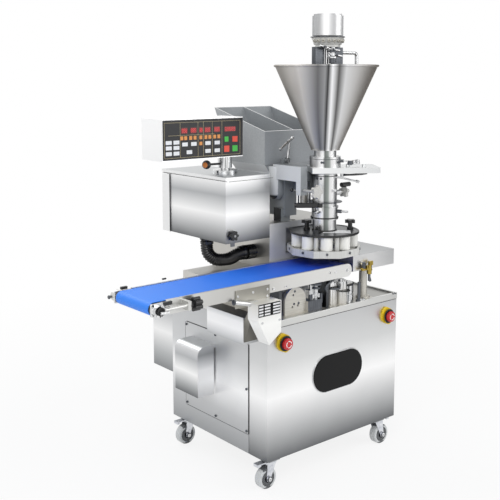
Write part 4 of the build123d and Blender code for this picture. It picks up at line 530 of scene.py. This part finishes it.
# Painted highlight on the hopper's upper rims.
paint("dough_hopper", painted_highlight_steel, lambda x, y, z, n: (n[:, 2] > 0.6) & (z > 1200))
paint("belt_lift", finishes["gunmetal"], lambda x, y, z, n: (x > 109) & (x < 178) & (z < 631))
paint("belt_lift", finishes["polished"], lambda x, y, z, n: (x > 109) & (x < 340) & (z > 631))
paint("belt_lift", dark_steel_and_painted_shadow, lambda x, y, z, n: (x < -12) | ((x > 194) & (x < 211) & (z > 593)))
paint("agitator_motor", finishes["gunmetal"], lambda x, y, z, n: z < legs_top)
paint("agitator_motor", finishes["aluminium"], lambda x, y, z, n: (z > legs_top) & (z < flange_top))
paint("agitator_motor", finishes["polished"], lambda x, y, z, n: (x > 335) & (z < mouth_z + 75))
paint("clamp_handle_right", finishes["knob"], lambda x, y, z, n: z > 1008)
paint("clamp_knob", finishes["orange"], lambda x, y, z, n: n @ np.array([-0.86, -0.5, 0]) > 0.8)
paint("screws", finishes["gunmetal"], lambda x, y, z, n: (x < -80) | (z > 760))
paint("conveyor_frame", finishes["polished"], lambda x, y, z, n: (x < -501) & (y < -305))
paint("air_valve", finishes["gunmetal"], lambda x, y, z, n: z < 693)
paint("control_box", finishes["polished"], lambda x, y, z, n: z < 1129)
for caster in CASTERS:
    low, high = spot(f"caster_wheel_{caster}")
    middle, reach = (low + high) / 2, (high[2] - low[2]) / 2
    paint(f"caster_wheel_{caster}", finishes["tread"],
          lambda x, y, z, n: np.hypot(y - middle[1], z - middle[2]) > reach - TREAD)
print("nodes without a finish:", sorted(set(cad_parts) - set(wears)))

# %% [markdown]
# ## Surfaces from numbers
# New pieces are closed skins: rings of points carried along a path, each ring joined to the next, with both
# ends closed at the middle of their ring. A turned knob, a plate with rounded corners and a bent tube are
# all such rings, so three short functions make nearly everything. Local coordinates are (across, up, out),
# and one function sets them in place.

# %% Rings, plates, tubes and pieces
def skin(rings):
    """Points and faces of a closed surface through rings of points, shaped (rings, points, 3). Point j of
    ring i joins point j + 1 and ring i + 1, counted round. Both ends close at the mean of their ring."""
    rings = np.asarray(rings, float)
    rows, around = rings.shape[:2]
    i, j = np.meshgrid(np.arange(rows - 1), np.arange(around), indexing="ij")
    k, n = (j + 1) % around, i + 1
    faces = np.stack([i * around + j, i * around + k, n * around + k, n * around + j], -1).reshape(-1, 4)
    points = np.vstack([rings.reshape(-1, 3), rings[0].mean(0), rings[-1].mean(0)])
    j = np.arange(around)
    k, pole, last = (j + 1) % around, rows * around, (rows - 1) * around
    first_cap = np.stack([k, j, np.full(around, pole), np.full(around, pole)], -1)
    last_cap = np.stack([last + j, last + k, np.full(around, pole + 1), np.full(around, pole + 1)], -1)
    faces = np.vstack([faces, first_cap, last_cap])
    a, b, c, d = (points[faces[:, m]] for m in range(4))
    volume = np.einsum("ij,ij->i", a, np.cross(b, c)).sum() + np.einsum("ij,ij->i", a, np.cross(c, d)).sum()
    return points, faces if volume > 0 else faces[:, ::-1]


def place(rings, origin=(0, 0, 0), out=(0, 0, 1), up=(0, 1, 0)):
    """Local (across, up, out) coordinates in mm, set at origin with the given out and up directions. Where
    up runs along out, Z takes its place."""
    out = np.array(out, float) / np.linalg.norm(out)
    if abs(np.dot(up, out)) > 0.999:
        up = (0, 0, 1)
    up = np.array(up, float) - np.dot(up, out) * out
    up /= np.linalg.norm(up)
    return np.asarray(origin, float) + np.asarray(rings, float) @ np.array([np.cross(up, out), up, out])


def turned(profile, around=48):
    """A profile of (radius, height) turned once round: x = r cos t, y = r sin t."""
    profile = np.array(profile, float)
    t = np.linspace(0, 2 * np.pi, around, endpoint=False)
    radius = profile[:, :1]
    return np.stack([radius * np.cos(t), radius * np.sin(t), np.repeat(profile[:, 1:], around, 1)], -1)


def slab(width, height, corner, thickness, edge=0.4, back=0.0):
    """A plate with rounded corners, centred on the origin, from out = back to back + thickness. Its outline
    is a rectangle shrunk by the corner radius plus a circle of that radius, and the rings draw in by edge
    at both faces."""
    t = np.linspace(0, 2 * np.pi, 32, endpoint=False) + np.pi / 32
    inner = np.array([width / 2 - corner, height / 2 - corner])
    circle = np.stack([np.cos(t), np.sin(t)], -1)
    rings = []
    for grow, level in ((-edge, 0), (0, edge), (0, thickness - edge), (-edge, thickness)):
        flat = np.sign(circle) * inner + circle * max(corner + grow, 0.05)
        rings.append(np.column_stack([flat, np.full(len(t), back + level)]))
    return np.array(rings)


def tube(path, radius, around=20):
    """A circle carried along a path of points: each ring stands square to the path's direction. Radius may
    vary."""
    path = np.asarray(path, float)
    ahead = np.gradient(path, axis=0)
    ahead /= np.linalg.norm(ahead, axis=1, keepdims=True)
    side = np.cross(ahead, [0.31, 0.53, 0.79])
    side /= np.linalg.norm(side, axis=1, keepdims=True)
    other = np.cross(ahead, side)
    t = np.linspace(0, 2 * np.pi, around, endpoint=False)
    ring = side[:, None] * np.cos(t)[None, :, None] + other[:, None] * np.sin(t)[None, :, None]
    return path[:, None] + ring * np.broadcast_to(np.asarray(radius, float), (len(path),))[:, None, None]


SMOOTH_BELOW = math.radians(35)


def piece(name, body, slot, *parts):
    """One object from closed surfaces, each given as (rings, material). Faces that meet at less than 35
    degrees are shaded smooth."""
    points, faces, marks, materials, offset = [], [], [], [], 0
    for rings, material in parts:
        part_points, part_faces = skin(rings)
        if material not in materials:
            materials.append(material)
        points.append(part_points)
        faces.append(part_faces + offset)
        marks.append(np.full(len(part_faces), materials.index(material)))
        offset += len(part_points)
    faces = np.vstack(faces)
    polygons = [face[:3] if face[2] == face[3] else face[1:] if face[0] == face[1] else face
                for face in faces.tolist()]
    mesh = bpy.data.meshes.new(name)
    mesh.from_pydata((np.vstack(points) * MM).tolist(), [], polygons)
    for material in materials:
        mesh.materials.append(material)
    mesh.polygons.foreach_set("material_index", np.concatenate(marks).astype(np.int32))
    mesh.shade_smooth()
    mesh.set_sharp_from_angle(angle=SMOOTH_BELOW)
    made = bpy.data.objects.new(name, mesh)
    bpy.context.scene.collection.objects.link(made)
    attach(made, body)
    print(f"{name}: {len(polygons)} faces on {body}")
    return made


# %% [markdown]
# ## The control panel
# The keypad is a polyester membrane stuck on the front of the control box: black, with thin pale lines
# between its fields, raised keys and six red displays behind dark windows. Its lettering is left bare.
# Every key is a small slab, and the places come from short lists, so that the rows line up as on a printed
# membrane.

# %% Keypad membrane, keys and displays
membrane = finish("black_polyester_membrane", "0.2 #131315, 0.6 #1b1b1e, 0.9 #242428", grain=2, rough=0.42,
    lift=0.02)
print_line = finish("cream_screen_print", "0.2 #b9ac86, 0.8 #cfc29b", grain=3, rough=0.5)
key_white = finish("pale_polyester_key", "0.2 #dfe1e3, 0.8 #f2f3f4", grain=2, rough=0.4)
key_orange = finish("orange_polyester_key", "0.2 #d08236, 0.8 #eba35a", grain=2, rough=0.4)
key_green = finish("green_polyester_key", "0.2 #35ad3c, 0.8 #4ccc50", grain=2, rough=0.4)
key_red = finish("red_polyester_key", "0.2 #d8402f, 0.8 #f05a44", grain=2, rough=0.4)
window = finish("dark_red_display_window", "0.2 #5a0d10, 0.8 #7a1417", grain=3, rough=0.16)
lit = finish("lit_red_segments", "0.2 #e03038, 0.8 #f0484c", grain=2, rough=0.4)
glow_body = lit.node_tree.nodes["Principled BSDF"]
glow_body.inputs["Emission Color"].default_value = colour("#e02028")
glow_body.inputs["Emission Strength"].default_value = 0.35

panel_low, panel_high = spot("control_box")
panel_left, panel_front, panel_top = panel_low[0], panel_low[1], panel_high[2]


def on_panel(u, w, width, height, thickness, corner=1.0, lift=1.2):
    """A slab on the keypad. u is measured from the box's left edge and w down from its top, both to the
    slab's middle."""
    return place(slab(width, height, corner, thickness, edge=0.25, back=lift),
                 (panel_left + u, panel_front, panel_top - w), out=(0, -1, 0), up=(0, 0, 1))


lines = [(170, 12, 322, 0.9), (170, 130, 322, 0.9), (121, 55, 192.9, 0.9)]
uprights = [(9, 71, 118), (331, 71, 118), (73, 71, 118), (147, 71, 118), (170, 71, 118), (208, 71, 118),
    (250, 71, 118)]
displays = [(90, 40, 26, 20, 3), (128, 40, 26, 20, 3), (159.5, 40, 15, 20, 2), (187.5, 40, 26, 20, 3),
    (228.5, 40, 26, 20, 3), (286, 41, 50, 18, 5)]
keys = [(key_orange, u, 65, 12, 13) for u in (79, 95, 116, 134, 158.5, 180, 197, 218, 236)]
keys += [(key_orange, 158.5, 86, 12, 12)]
keys += [(key_white, u, w, 24, 13) for w in (78, 96, 115) for u in (26, 57)]
keys += [(key_white, u, w, 23, 13) for u, w in ((92, 86), (129, 86), (110, 113), (189, 86), (189, 113),
    (229, 86), (229, 113))]
keys += [(key_green, 270, 76, 17, 18), (key_red, 308, 77, 23, 20), (key_red, 271, 110, 23, 22),
    (key_green, 308, 110, 23, 21)]
piece("control_face", "control_box", "black_plastic", (on_panel(173.5, 70, 341, 134, 1.2, 3, 0.0), membrane),
      *[(on_panel(u, w, width, height, 0.2, 0.3), print_line) for u, w, width, height in lines],
      *[(on_panel(u, w, 0.9, height, 0.2, 0.3), print_line) for u, w, height in uprights])
piece("control_keys", "control_box", "black_plastic",
      *[(on_panel(u, w, width, height, 0.9, 1.5), material) for material, u, w, width, height in keys])
segments = []
for u, w, width, height, digits in displays:
    pitch = (width - 3) / digits
    reach = pitch * 0.3
    for d in range(digits):
        middle = u + (d - (digits - 1) / 2) * pitch
        segments += [(middle, w + v, 2 * reach, 1.1) for v in (-6, 0, 6)]
        segments += [(middle + s * reach, w + v, 1.1, 4.6) for s in (-1, 1) for v in (-3, 3)]
piece("control_displays", "control_box", "red_plastic",
      *[(on_panel(u, w, width, height, 0.5, 0.8), window) for u, w, width, height, _ in displays],
      *[(on_panel(u, w, width, height, 0.2, 0.3, 1.65), lit) for u, w, width, height in segments])

# %% [markdown]
# ## Small parts in the round
# The rest of the small parts are turned, bent or cut from plate. A bolt head is a short turned profile with
# a sunk hollow the size of a hexagon key, a band is a ring with cut corners, and a bar is a straight tube
# whose ends draw in.

# %% Bolts, bands and bars
def bolt(origin, out, radius=4.5, height=3.2):
    """A socket head screw: a chamfered disc whose face is hollow in the middle."""
    profile = [(radius * 0.94, 0), (radius, 0.3), (radius, height - 0.7), (radius * 0.86, height),
               (radius * 0.54, height), (radius * 0.48, height * 0.35)]
    return place(turned(profile, 20), origin, out)


def band(origin, out, inner, outer, tall, edge=0.6):
    """A rectangle with cut corners, turned round an axis. The skin closes it with two thin discs, which lie
    inside the part that the ring goes round."""
    section = [(inner, edge), (inner, tall - edge), (inner + edge, tall), (outer - edge, tall),
        (outer, tall - edge), (outer, edge), (outer - edge, 0), (inner + edge, 0)]
    return place(turned(section, 64), origin, out)


def bar(start, end, radius):
    """A round bar between two points, drawn in by 0.8 mm at both ends."""
    start, end = np.array(start, float), np.array(end, float)
    edge = 0.8
    step = (end - start) / np.linalg.norm(end - start) * edge
    return tube([start, start + step, (start + end) / 2, end - step, end],
                [radius - edge, radius, radius, radius, radius - edge])


def bend(points, steps=10):
    """A smooth path through points: a Catmull-Rom curve, whose piece from b to c leans on the points a and
    d beside it, 0.5 (2b + (c - a) t + (2a - 5b + 4c - d) t^2 + (3b - a - 3c + d) t^3)."""
    points = np.array(points, float)
    full = np.vstack([2 * points[0] - points[1], points, 2 * points[-1] - points[-2]])
    t = np.linspace(0, 1, steps, endpoint=False)[:, None]
    path = [0.5 * (2 * b + (c - a) * t + (2 * a - 5 * b + 4 * c - d) * t**2 + (3 * b - a - 3 * c + d) * t**3)
            for a, b, c, d in zip(full, full[1:], full[2:], full[3:])]
    return np.vstack(path + [points[-1:]])


FRONT, BACK, LEFT, UP = (0, -1, 0), (0, 1, 0), (-1, 0, 0), (0, 0, 1)
black, dark = finishes["fitting"], finishes["gunmetal"]
# Black rubber for the seals; the same finish fills the gaps round the access cover as painted shade.
seal = finish("black_rubber_seal_and_shadow_gap", "0.2 #161617, 0.8 #2b2b2c", grain=2, rough=0.6, lift=0.03)
enamel = finish("black_enamel_plate", "0.2 #040405, 0.8 #0c0c0e", grain=4, rough=0.5, ior=1.3)
pale = finish("pale_printed_field", "0.2 #dfe0e0, 0.8 #f0f0f0", grain=3, rough=0.45)
satin = finish("satin_fitting_steel", "0.2 #b9babb, 0.5 #d7d8d9, 0.8 #ececec", grain=3, metal=1.0,
    rough=0.3)
print("small finishes ready")

# %% [markdown]
# ## Plates and seams of the cabinet
# The front carries a bare black plate with round ends and a bright rim. The access cover on the left stands
# in a frame of thin shadow gaps, drawn as painted shade with strips of the black rubber finish, and the drive
# cover carries a rating plate with empty fields.

# %% Badge, seals and rating plate
front_y = spot("front_cover")[0][1]
piece("badge_plate", "machine", "black_plastic",
      (place(slab(256, 142, 71, 2.4, 0.8), (246, front_y - 0.3, 355), FRONT, UP), satin),
      (place(slab(250, 136, 68, 1.6, 0.5, 2.0), (246, front_y - 0.3, 355), FRONT, UP), enamel))
shell_x = -92.0
# Dark strips in the gaps round the access cover: painted shade.
piece("painted_shadow_gaps", "machine", "hose_rubber",
    *[(place(slab(w, h, 0.4, 1.2, 0.3), (shell_x - 0.2, y, z), LEFT, UP), seal)
    for y, z, w, h in ((-207.6, 333, 3.4, 322), (94, 496.8, 132, 2.2), (-20, 357, 3.2, 182),
    (-19.5, 169.4, 372, 1.0), (167.6, 333, 1.0, 322))])
box_low, box_high = spot("motor_box")
seams = [((box_low[0] - 0.1, 85, box_high[2] - 12.5), LEFT, 398, 1.4),
    ((-7, box_low[1] - 0.1, box_high[2] - 12.5), FRONT, 200, 1.4),
    ((235, front_y - 0.1, 567.5), FRONT, 652, 1.6), ((box_low[0] - 0.1, 236, 940), LEFT, 1.2, 222)]
piece("box_seams", "machine", "hose_rubber",
    *[(place(slab(w, h, 0.4, 0.9, 0.2), p, out, UP), seal) for p, out, w, h in seams])
# A thin panel on the motor box's left side wears the painted highlight steel.
piece("side_panel", "machine", "stainless",
    (place(slab(46, 218, 1, 0.9, 0.3), (box_low[0] - 0.1, 261, 941), LEFT, UP), painted_highlight_steel))
cover_low = spot("drive_cover")[0]
plate_mid = (-135.5, cover_low[1] - 0.2, 662)
fields = [(u, v, w) for v in (14.5, 4.8, -4.8, -14.5) for u, w in ((-36, 18), (-9, 24), (30, 30))]
piece("rating_plate", "machine", "black_plastic",
    (place(slab(94, 42, 1.5, 0.9, 0.2), plate_mid, FRONT, UP), enamel),
    *[(place(slab(w, 5.6, 0.6, 0.3, 0.1, 0.8) + (u, v, 0), plate_mid, FRONT, UP), pale)
    for u, v, w in fields])
cover_bolts = [(-167, cover_low[1], 621), (-93, cover_low[1], 620), (-162, -312, 712), (-100, -312, 713),
               (-226, -312, 708), (-100, -312, 690)]
flat_bolts = [(27, -309.2, 684), (24, -309.2, 640), (45, -309.2, 640)]
piece("front_bolts", "machine", "stainless", *[(bolt(p, FRONT, 4.2, 3), satin) for p in cover_bolts],
      *[(bolt(p, FRONT, 4.6, 1.6), dark) for p in flat_bolts])
piece("bracket_tube", "machine", "polished_steel", (bar((-244, -318, 693), (-180, -322, 677), 7.5), satin),
    (bar((-180, -322, 677), (-150, -322, 676), 10), satin),
    (bolt((-244, -318, 693), (-0.9, 0, 0.2), 9.5, 4), dark))
table_clip = [(bar((540, -306, 590), (549, -306, 590), 5.5), satin),
    (bar((536, -310, 592), (553, -310, 590), 2.2), dark)]
piece("table_clip", "machine", "stainless", *table_clip)

# %% [markdown]
# ## The column and what hangs on it
# Black rings seal the joints of the column, screws hold its collars, and short pins and levers release
# them. A chromed pipe with a bowl comes down beside the column from the casting, where the dough enters.

# %% Column fittings
column = (axis_x, axis_y)


def heading(bearing):
    """The level direction at a bearing in degrees, counted from +X towards +Y."""
    return np.array([math.cos(math.radians(bearing)), math.sin(math.radians(bearing)), 0])


def round_column(bearing, level, radius):
    """A point on a circle round the column's axis, and the direction that leaves it there."""
    out = heading(bearing)
    return np.array([*column, level]) + radius * out, out


parts = [(band((*column, 902.5), UP, 46, 50.9, 4, 0.4), seal),
    (band((*column, 961), UP, 50, 63.5, 1.6, 0.4), dark), (band((*column, 1056), UP, 43, 46.4, 2), seal),
    (band((*column, 856), UP, 30, 45.5, 5), seal), (band((*column, 1118), UP, 54, 57.6, 1.6), dark),
    (band((*column, 1064), UP, 42, 47.4, 2.4), satin)]
for bearing, level, radius in ((-147, 1108, 56.4), (-140, 1108, 56.4), (-80, 1108, 56.4), (-172, 1049, 43.8),
        (-153, 1049, 43.8)):
    point, out = round_column(bearing, level, radius)
    parts.append((bolt(point, out, 4.2, 3.4), dark))
for bearing, level, radius, reach, size in ((-60, 1111, 55, 34, 2.6), (-62, 928, 48, 40, 3.6),
        (-160, 930, 48, 30, 3.2)):
    point, out = round_column(bearing, level, radius)
    parts += [(bar(point, point + reach * out, size), satin),
        (bar(point, point + 0.4 * reach * out, size + 3), dark)]
piece("column_fittings", "machine", "polished_steel", *parts)

lever_path = bend([(300, -262, 1060), (306, -276, 1061), (330, -288, 1061), (362, -290, 1061),
    (399, -290, 1060)])
piece("plate_levers", "machine", "black_plastic",
    (tube(lever_path, np.interp(np.linspace(0, 1, len(lever_path)), [0, 0.1, 0.35, 0.8, 1],
    [2.5, 4.5, 3.4, 4.6, 2.5])), black), (bar((300, -262, 1054), (300, -262, 1069.6), 7), satin),
    (tube(bend([(270, -250, 1054), (300, -262, 1049), (345, -262, 1038), (380, -262, 1030)]), 3.4), satin),
    (bar((374, -262, 1032), (386, -262, 1028), 5.4), satin))
plate_top = spot("mount_plate")[1][2]
cap_profile = [(8, 0), (9, 0.6), (9, 8), (7.6, 9), (7.6, 14), (6.6, 15)]
piece("plate_fittings", "machine", "stainless",
    *[(place(turned(cap_profile, 28), (x, y, plate_top - 0.3), UP), material)
    for x, y, material in ((298, -300, dark), (322, -296, satin), (346, -292, satin))],
    (bar((318, -300, plate_top + 12), (352, -286, plate_top + 12), 4), satin))

bowl = [(3, 996), (9, 997), (17, 1004), (22, 1016), (23, 1030), (24, 1032), (22, 1032), (19, 1026)]
piece("feed_pipe", "machine", "polished_steel", (turned(bowl, 40) + (214, -150, 0), satin),
    (bar((239, -150, 946), (239, -150, 1040), 9), satin),
    (bar((214, -150, 948), (214, -150, 1000), 12), finishes["arch"]),
    (bar((190, -150, 950), (190, -150, 1036), 3), dark),
    (bar((160, -150, 1005), (232, -150, 996), 2.4), satin),
    (turned([(3, -6), (6, -3), (6.6, 0), (6, 3), (3, 6)], 24) + (157, -150, 1005.5), black))
piece("wing_nut_left", "machine", "black_plastic", (bar((184, -232, 934), (212, -226, 930), 3), black),
    (bar((192, -236, 925), (200, -228, 944), 2.4), black),
    (bar((204, -232, 932), (224, -222, 931), 6), satin))
piece("lever_grip", "lever_left", "black_plastic",
      (place(slab(80, 18, 6, 15, 3, -7.5), (177, -209, 955), (-0.61, -0.79, 0), UP), finishes["knob"]))

# %% [markdown]
# ## The shutter cover
# A black rim finishes the edge of the smoked disc, a bare plate lies on it, and a small clip stands beside
# the column.

# %% Rim, plate and clip of the disc
disc_top = 855.4
piece("disc_rim", "machine", "black_plastic",
    (band((*column, 848.6), UP, 119, 127, 8.4, 1.2), finishes["knob"]))
piece("disc_plate", "machine", "stainless",
    (place(slab(100, 56, 1.5, 0.9, 0.2), (273, -264, disc_top), UP, (-0.69, -0.72, 0)), pale))
piece("disc_clip", "machine", "black_plastic",
    (place(slab(16, 18, 2, 24, 1), (208, -232, disc_top - 0.3), UP, (0.69, 0.72, 0)), black),
    (place(slab(20, 6, 1.5, 6, 0.8), (204, -242, disc_top), UP, (0.69, 0.72, 0)), black))

# %% [markdown]
# ## The agitator's drive
# Below the motor sits a tapered flange with bolts and dark mouldings. Two upright plates carry it, and a
# coupling of bright and dark rings runs down between them to the shaft.

# %% Agitator drive details
motor_x, flange_z = axis_x + 6, mouth_z + 98
rim = [(60.5, flange_z + 1), (61.6, flange_z + 0.4), (61.6, flange_z - 1.6), (60, flange_z - 2.4),
    (59, flange_z - 2.4)]
drive = [(turned(rim, 64) + (motor_x, axis_y, 0), dark)]
taper = [(58, flange_z - 3), (56, flange_z - 8), (50, flange_z - 24), (49, flange_z - 27)]
drive.append((turned(taper, 64) + (motor_x, axis_y, 0), finishes["aluminium"]))
for bearing in range(-190, -20, 20):
    out = heading(bearing)
    point = np.array([motor_x, axis_y, flange_z - 14]) + 53 * out
    radius, material = (6.2, finishes["arch"]) if bearing % 40 else (4.4, dark)
    drive.append((bolt(point, out + (0, 0, -0.35), radius, 6), material))
for x, y, z, radius, tall, material in ((268, -236, mouth_z + 4, 12, 18, dark),
        (268, -236, mouth_z + 22, 16, 7, satin), (268, -236, mouth_z + 30, 9, 14, satin),
        (268, -236, mouth_z + 44, 15, 6, dark), (268, -236, mouth_z + 50, 11, 16, satin)):
    drive.append((place(turned([(radius - 1, 0), (radius, 1), (radius, tall - 1), (radius - 1, tall)], 32),
        (x, y, z), UP), material))
for x0, x1, z, material in ((206, 244, 66, satin), (228, 300, 58, satin), (252, 312, 38, satin)):
    drive.append((bar((x0, -238, mouth_z + z), (x1, -240, mouth_z + z - 8), 4), material))
    drive.append((bar(((x0 + x1) / 2 - 4, -245, mouth_z + z - 3), ((x0 + x1) / 2 + 4, -245, mouth_z + z - 5),
        3.4), dark))
piece("drive_details", "machine", "stainless", *drive)

# %% [markdown]
# ## Below the belt
# The lifting cylinder stands on the table with bright and dark bands. Beside it are the bright fork of the
# lift's stand and a black hose. The air valve has its spindle, and a ring seal sits at the conveyor's end.

# %% Lift cylinder, fork and air fittings
barrel = [(35, 592), (36, 594), (36, 622), (34.5, 623), (34.5, 626), (36, 627), (36, 655), (35, 656),
    (33, 657), (33, 663), (32, 664)]
lift = [(turned(barrel, 56) + (316, -262, 0), finishes["polished"]),
    (band((316, -262, 657), UP, 32, 37.5, 5), seal), (band((242, -283, 655), UP, 21, 25, 6), dark),
    (band((288, -289, 640), UP, 21, 24, 3), seal)]
for x, z0, z1, material in ((129, 612, 650, dark), (183, 612, 648, dark), (143, 634, 650, satin),
        (169, 634, 650, satin)):
    lift.append((bar((x, -279, z0), (x, -279, z1), 6), material))
lift += [(bar((156, -279, 640), (156, -279, 690), 9), satin), (band((156, -279, 668), UP, 8, 17, 7), dark),
    (band((156, -279, 682), UP, 8, 22, 8), dark),
    (tube(bend([(200, -290, 650), (190, -296, 668), (206, -296, 684), (232, -292, 690)]), 5), dark),
    (bar((352, -300, 592), (352, -300, 600), 8), dark), (bar((360, -297, 596), (392, -297, 592), 4), satin),
    (bar((356, -301, 600), (356, -301, 664), 6), dark)]
piece("lift_details", "machine", "polished_steel", *lift)
valve = [(bar((362, -318, 716), (362, -318, 740), 6.5), dark),
    (bar((345, -318, 717), (362, -318, 717), 3), finishes["brass"]),
    (bar((397, -318, 664), (392, -318, 678), 5), dark),
    (band((391, -318, 706), UP, 7, 11, 6), finishes["brass"])]
piece("valve_details", "machine", "brass", *valve)
piece("tail_details", "machine", "black_plastic", (band((-540, -341, 720), FRONT, 8, 13.5, 3), seal),
    (place(slab(30, 10, 2, 11, 1), (-512, -334, 735)), black),
    (place(slab(24, 10, 2, 9, 1), (-512, -86, 735.5)), black),
    (place(slab(16, 7, 2, 5, 1), (-352, -79, 741)), black),
    (bar((-548, -350, 718), (-520, -352, 716), 5), satin), (bar((-560, -80, 716), (-566, -80, 716), 6), dark))

# %% [markdown]
# ## The ribbed hose
# The hose is a wire-reinforced rubber pipe. Its ribs are bands along the same path as the solid hose: the
# path goes down from the motor box, turns under it and rises into the elbow at the rear housing. The radius
# swells with the length s along the path, r = 22.2 + 1.2 cos(2 pi s / 8) in mm, which draws a rib every 8
# mm.

# %% Ribs and cuffs of the hose
guide = [(-68, 62, 822), (-68, 62, 790), (-62, 59, 766), (-42, 48, 747), (-16, 34, 743.5), (6, 22, 748),
    (26, 8, 760), (40, -1, 766), (58, -5, 767)]
path = bend(guide, 14)
along_path = np.concatenate([[0], np.cumsum(np.linalg.norm(np.diff(path, axis=0), axis=1))])
ribs = np.arange(0, along_path[-1], 1.25)
fine_path = np.stack([np.interp(ribs, along_path, path[:, k]) for k in range(3)], -1)
rib_radius = 22.2 + 1.2 * np.cos(2 * np.pi * ribs / 8)
piece("hose_ribs", "machine", "hose_rubber", (tube(fine_path, rib_radius, 32), finishes["hose"]))
cuff = [(24, 0), (26, 1), (26, 12), (24.5, 13), (27, 14), (27, 24), (25, 25)]
piece("hose_cuffs", "machine", "black_plastic",
    (place(turned(cuff, 40), (34, 4, 765), (1, -0.35, 0.12)), black),
    (band((-68, 62, 806), UP, 20, 24.5, 10), black))

# %% [markdown]
# ## Stops, wheels and fasteners
# An emergency stop has a white ring of arcs moulded into its red mushroom and a black collar under it. The
# wheels carry a dark ring on each side, and their forks a nut. All of these ride on the body that they
# belong to.

# %% Emergency stops and casters
white_ink = finish("white_printed_arc", "0.2 #e8e4e4, 0.8 #f4f0f0", grain=2, rough=0.4)


def arc(origin, out, up, start, end, inner, outer, tall):
    """A flat arc from one angle to another, in degrees. Its 14 rings are its cross-sections."""
    t = np.radians(np.linspace(start, end, 14))[:, None]
    section = np.array([(inner, 0), (inner, tall), (outer, tall), (outer, 0)], float)
    rings = np.stack([section[:, 0] * np.cos(t), section[:, 0] * np.sin(t),
        np.broadcast_to(section[:, 1], (len(t), 4))], -1)
    return place(rings, origin, out, up)


for side in ("left", "right"):
    low, high = spot(f"estop_button_{side}")
    middle = (low + high) / 2
    face = (middle[0], low[1] + 0.1, middle[2])
    piece(f"estop_arcs_{side}", f"estop_button_{side}", "white_plastic",
          *[(arc(face, FRONT, UP, start, start + 96, 9.5, 12.6, 0.5), white_ink) for start in (10, 130, 250)])
    piece(f"estop_collar_{side}", "machine", "yellow_plastic",
        (band((middle[0], front_y - 13.6, middle[2]), FRONT, 20.6, 27, 2.2), seal),
        (place(slab(40, 72, 18, 9, 1.5), (middle[0], front_y - 0.2, middle[2]), FRONT, (-0.5, 0, 0.87)),
        finishes["yellow"]))
for caster in CASTERS:
    low, high = spot(f"caster_wheel_{caster}")
    x, y, z = (low + high) / 2
    piece(f"wheel_rings_{caster}", f"caster_wheel_{caster}", "wheel_rubber",
          *[(band((x, face_y, z), out, 24, 26.5, 0.9, 0.3), finishes["tread"])
            for face_y, out in ((low[1] + 0.3, FRONT), (high[1] - 0.3, BACK))])
    piece(f"axle_nuts_{caster}", f"caster_fork_{caster}", "stainless",
          *[(bolt((x, y + sign * away, z), out, radius, height), material)
            for sign, out in ((-1, FRONT), (1, BACK))
            for away, radius, height, material in ((21.5, 9.5, 2, dark), (23, 7, 5, satin))])
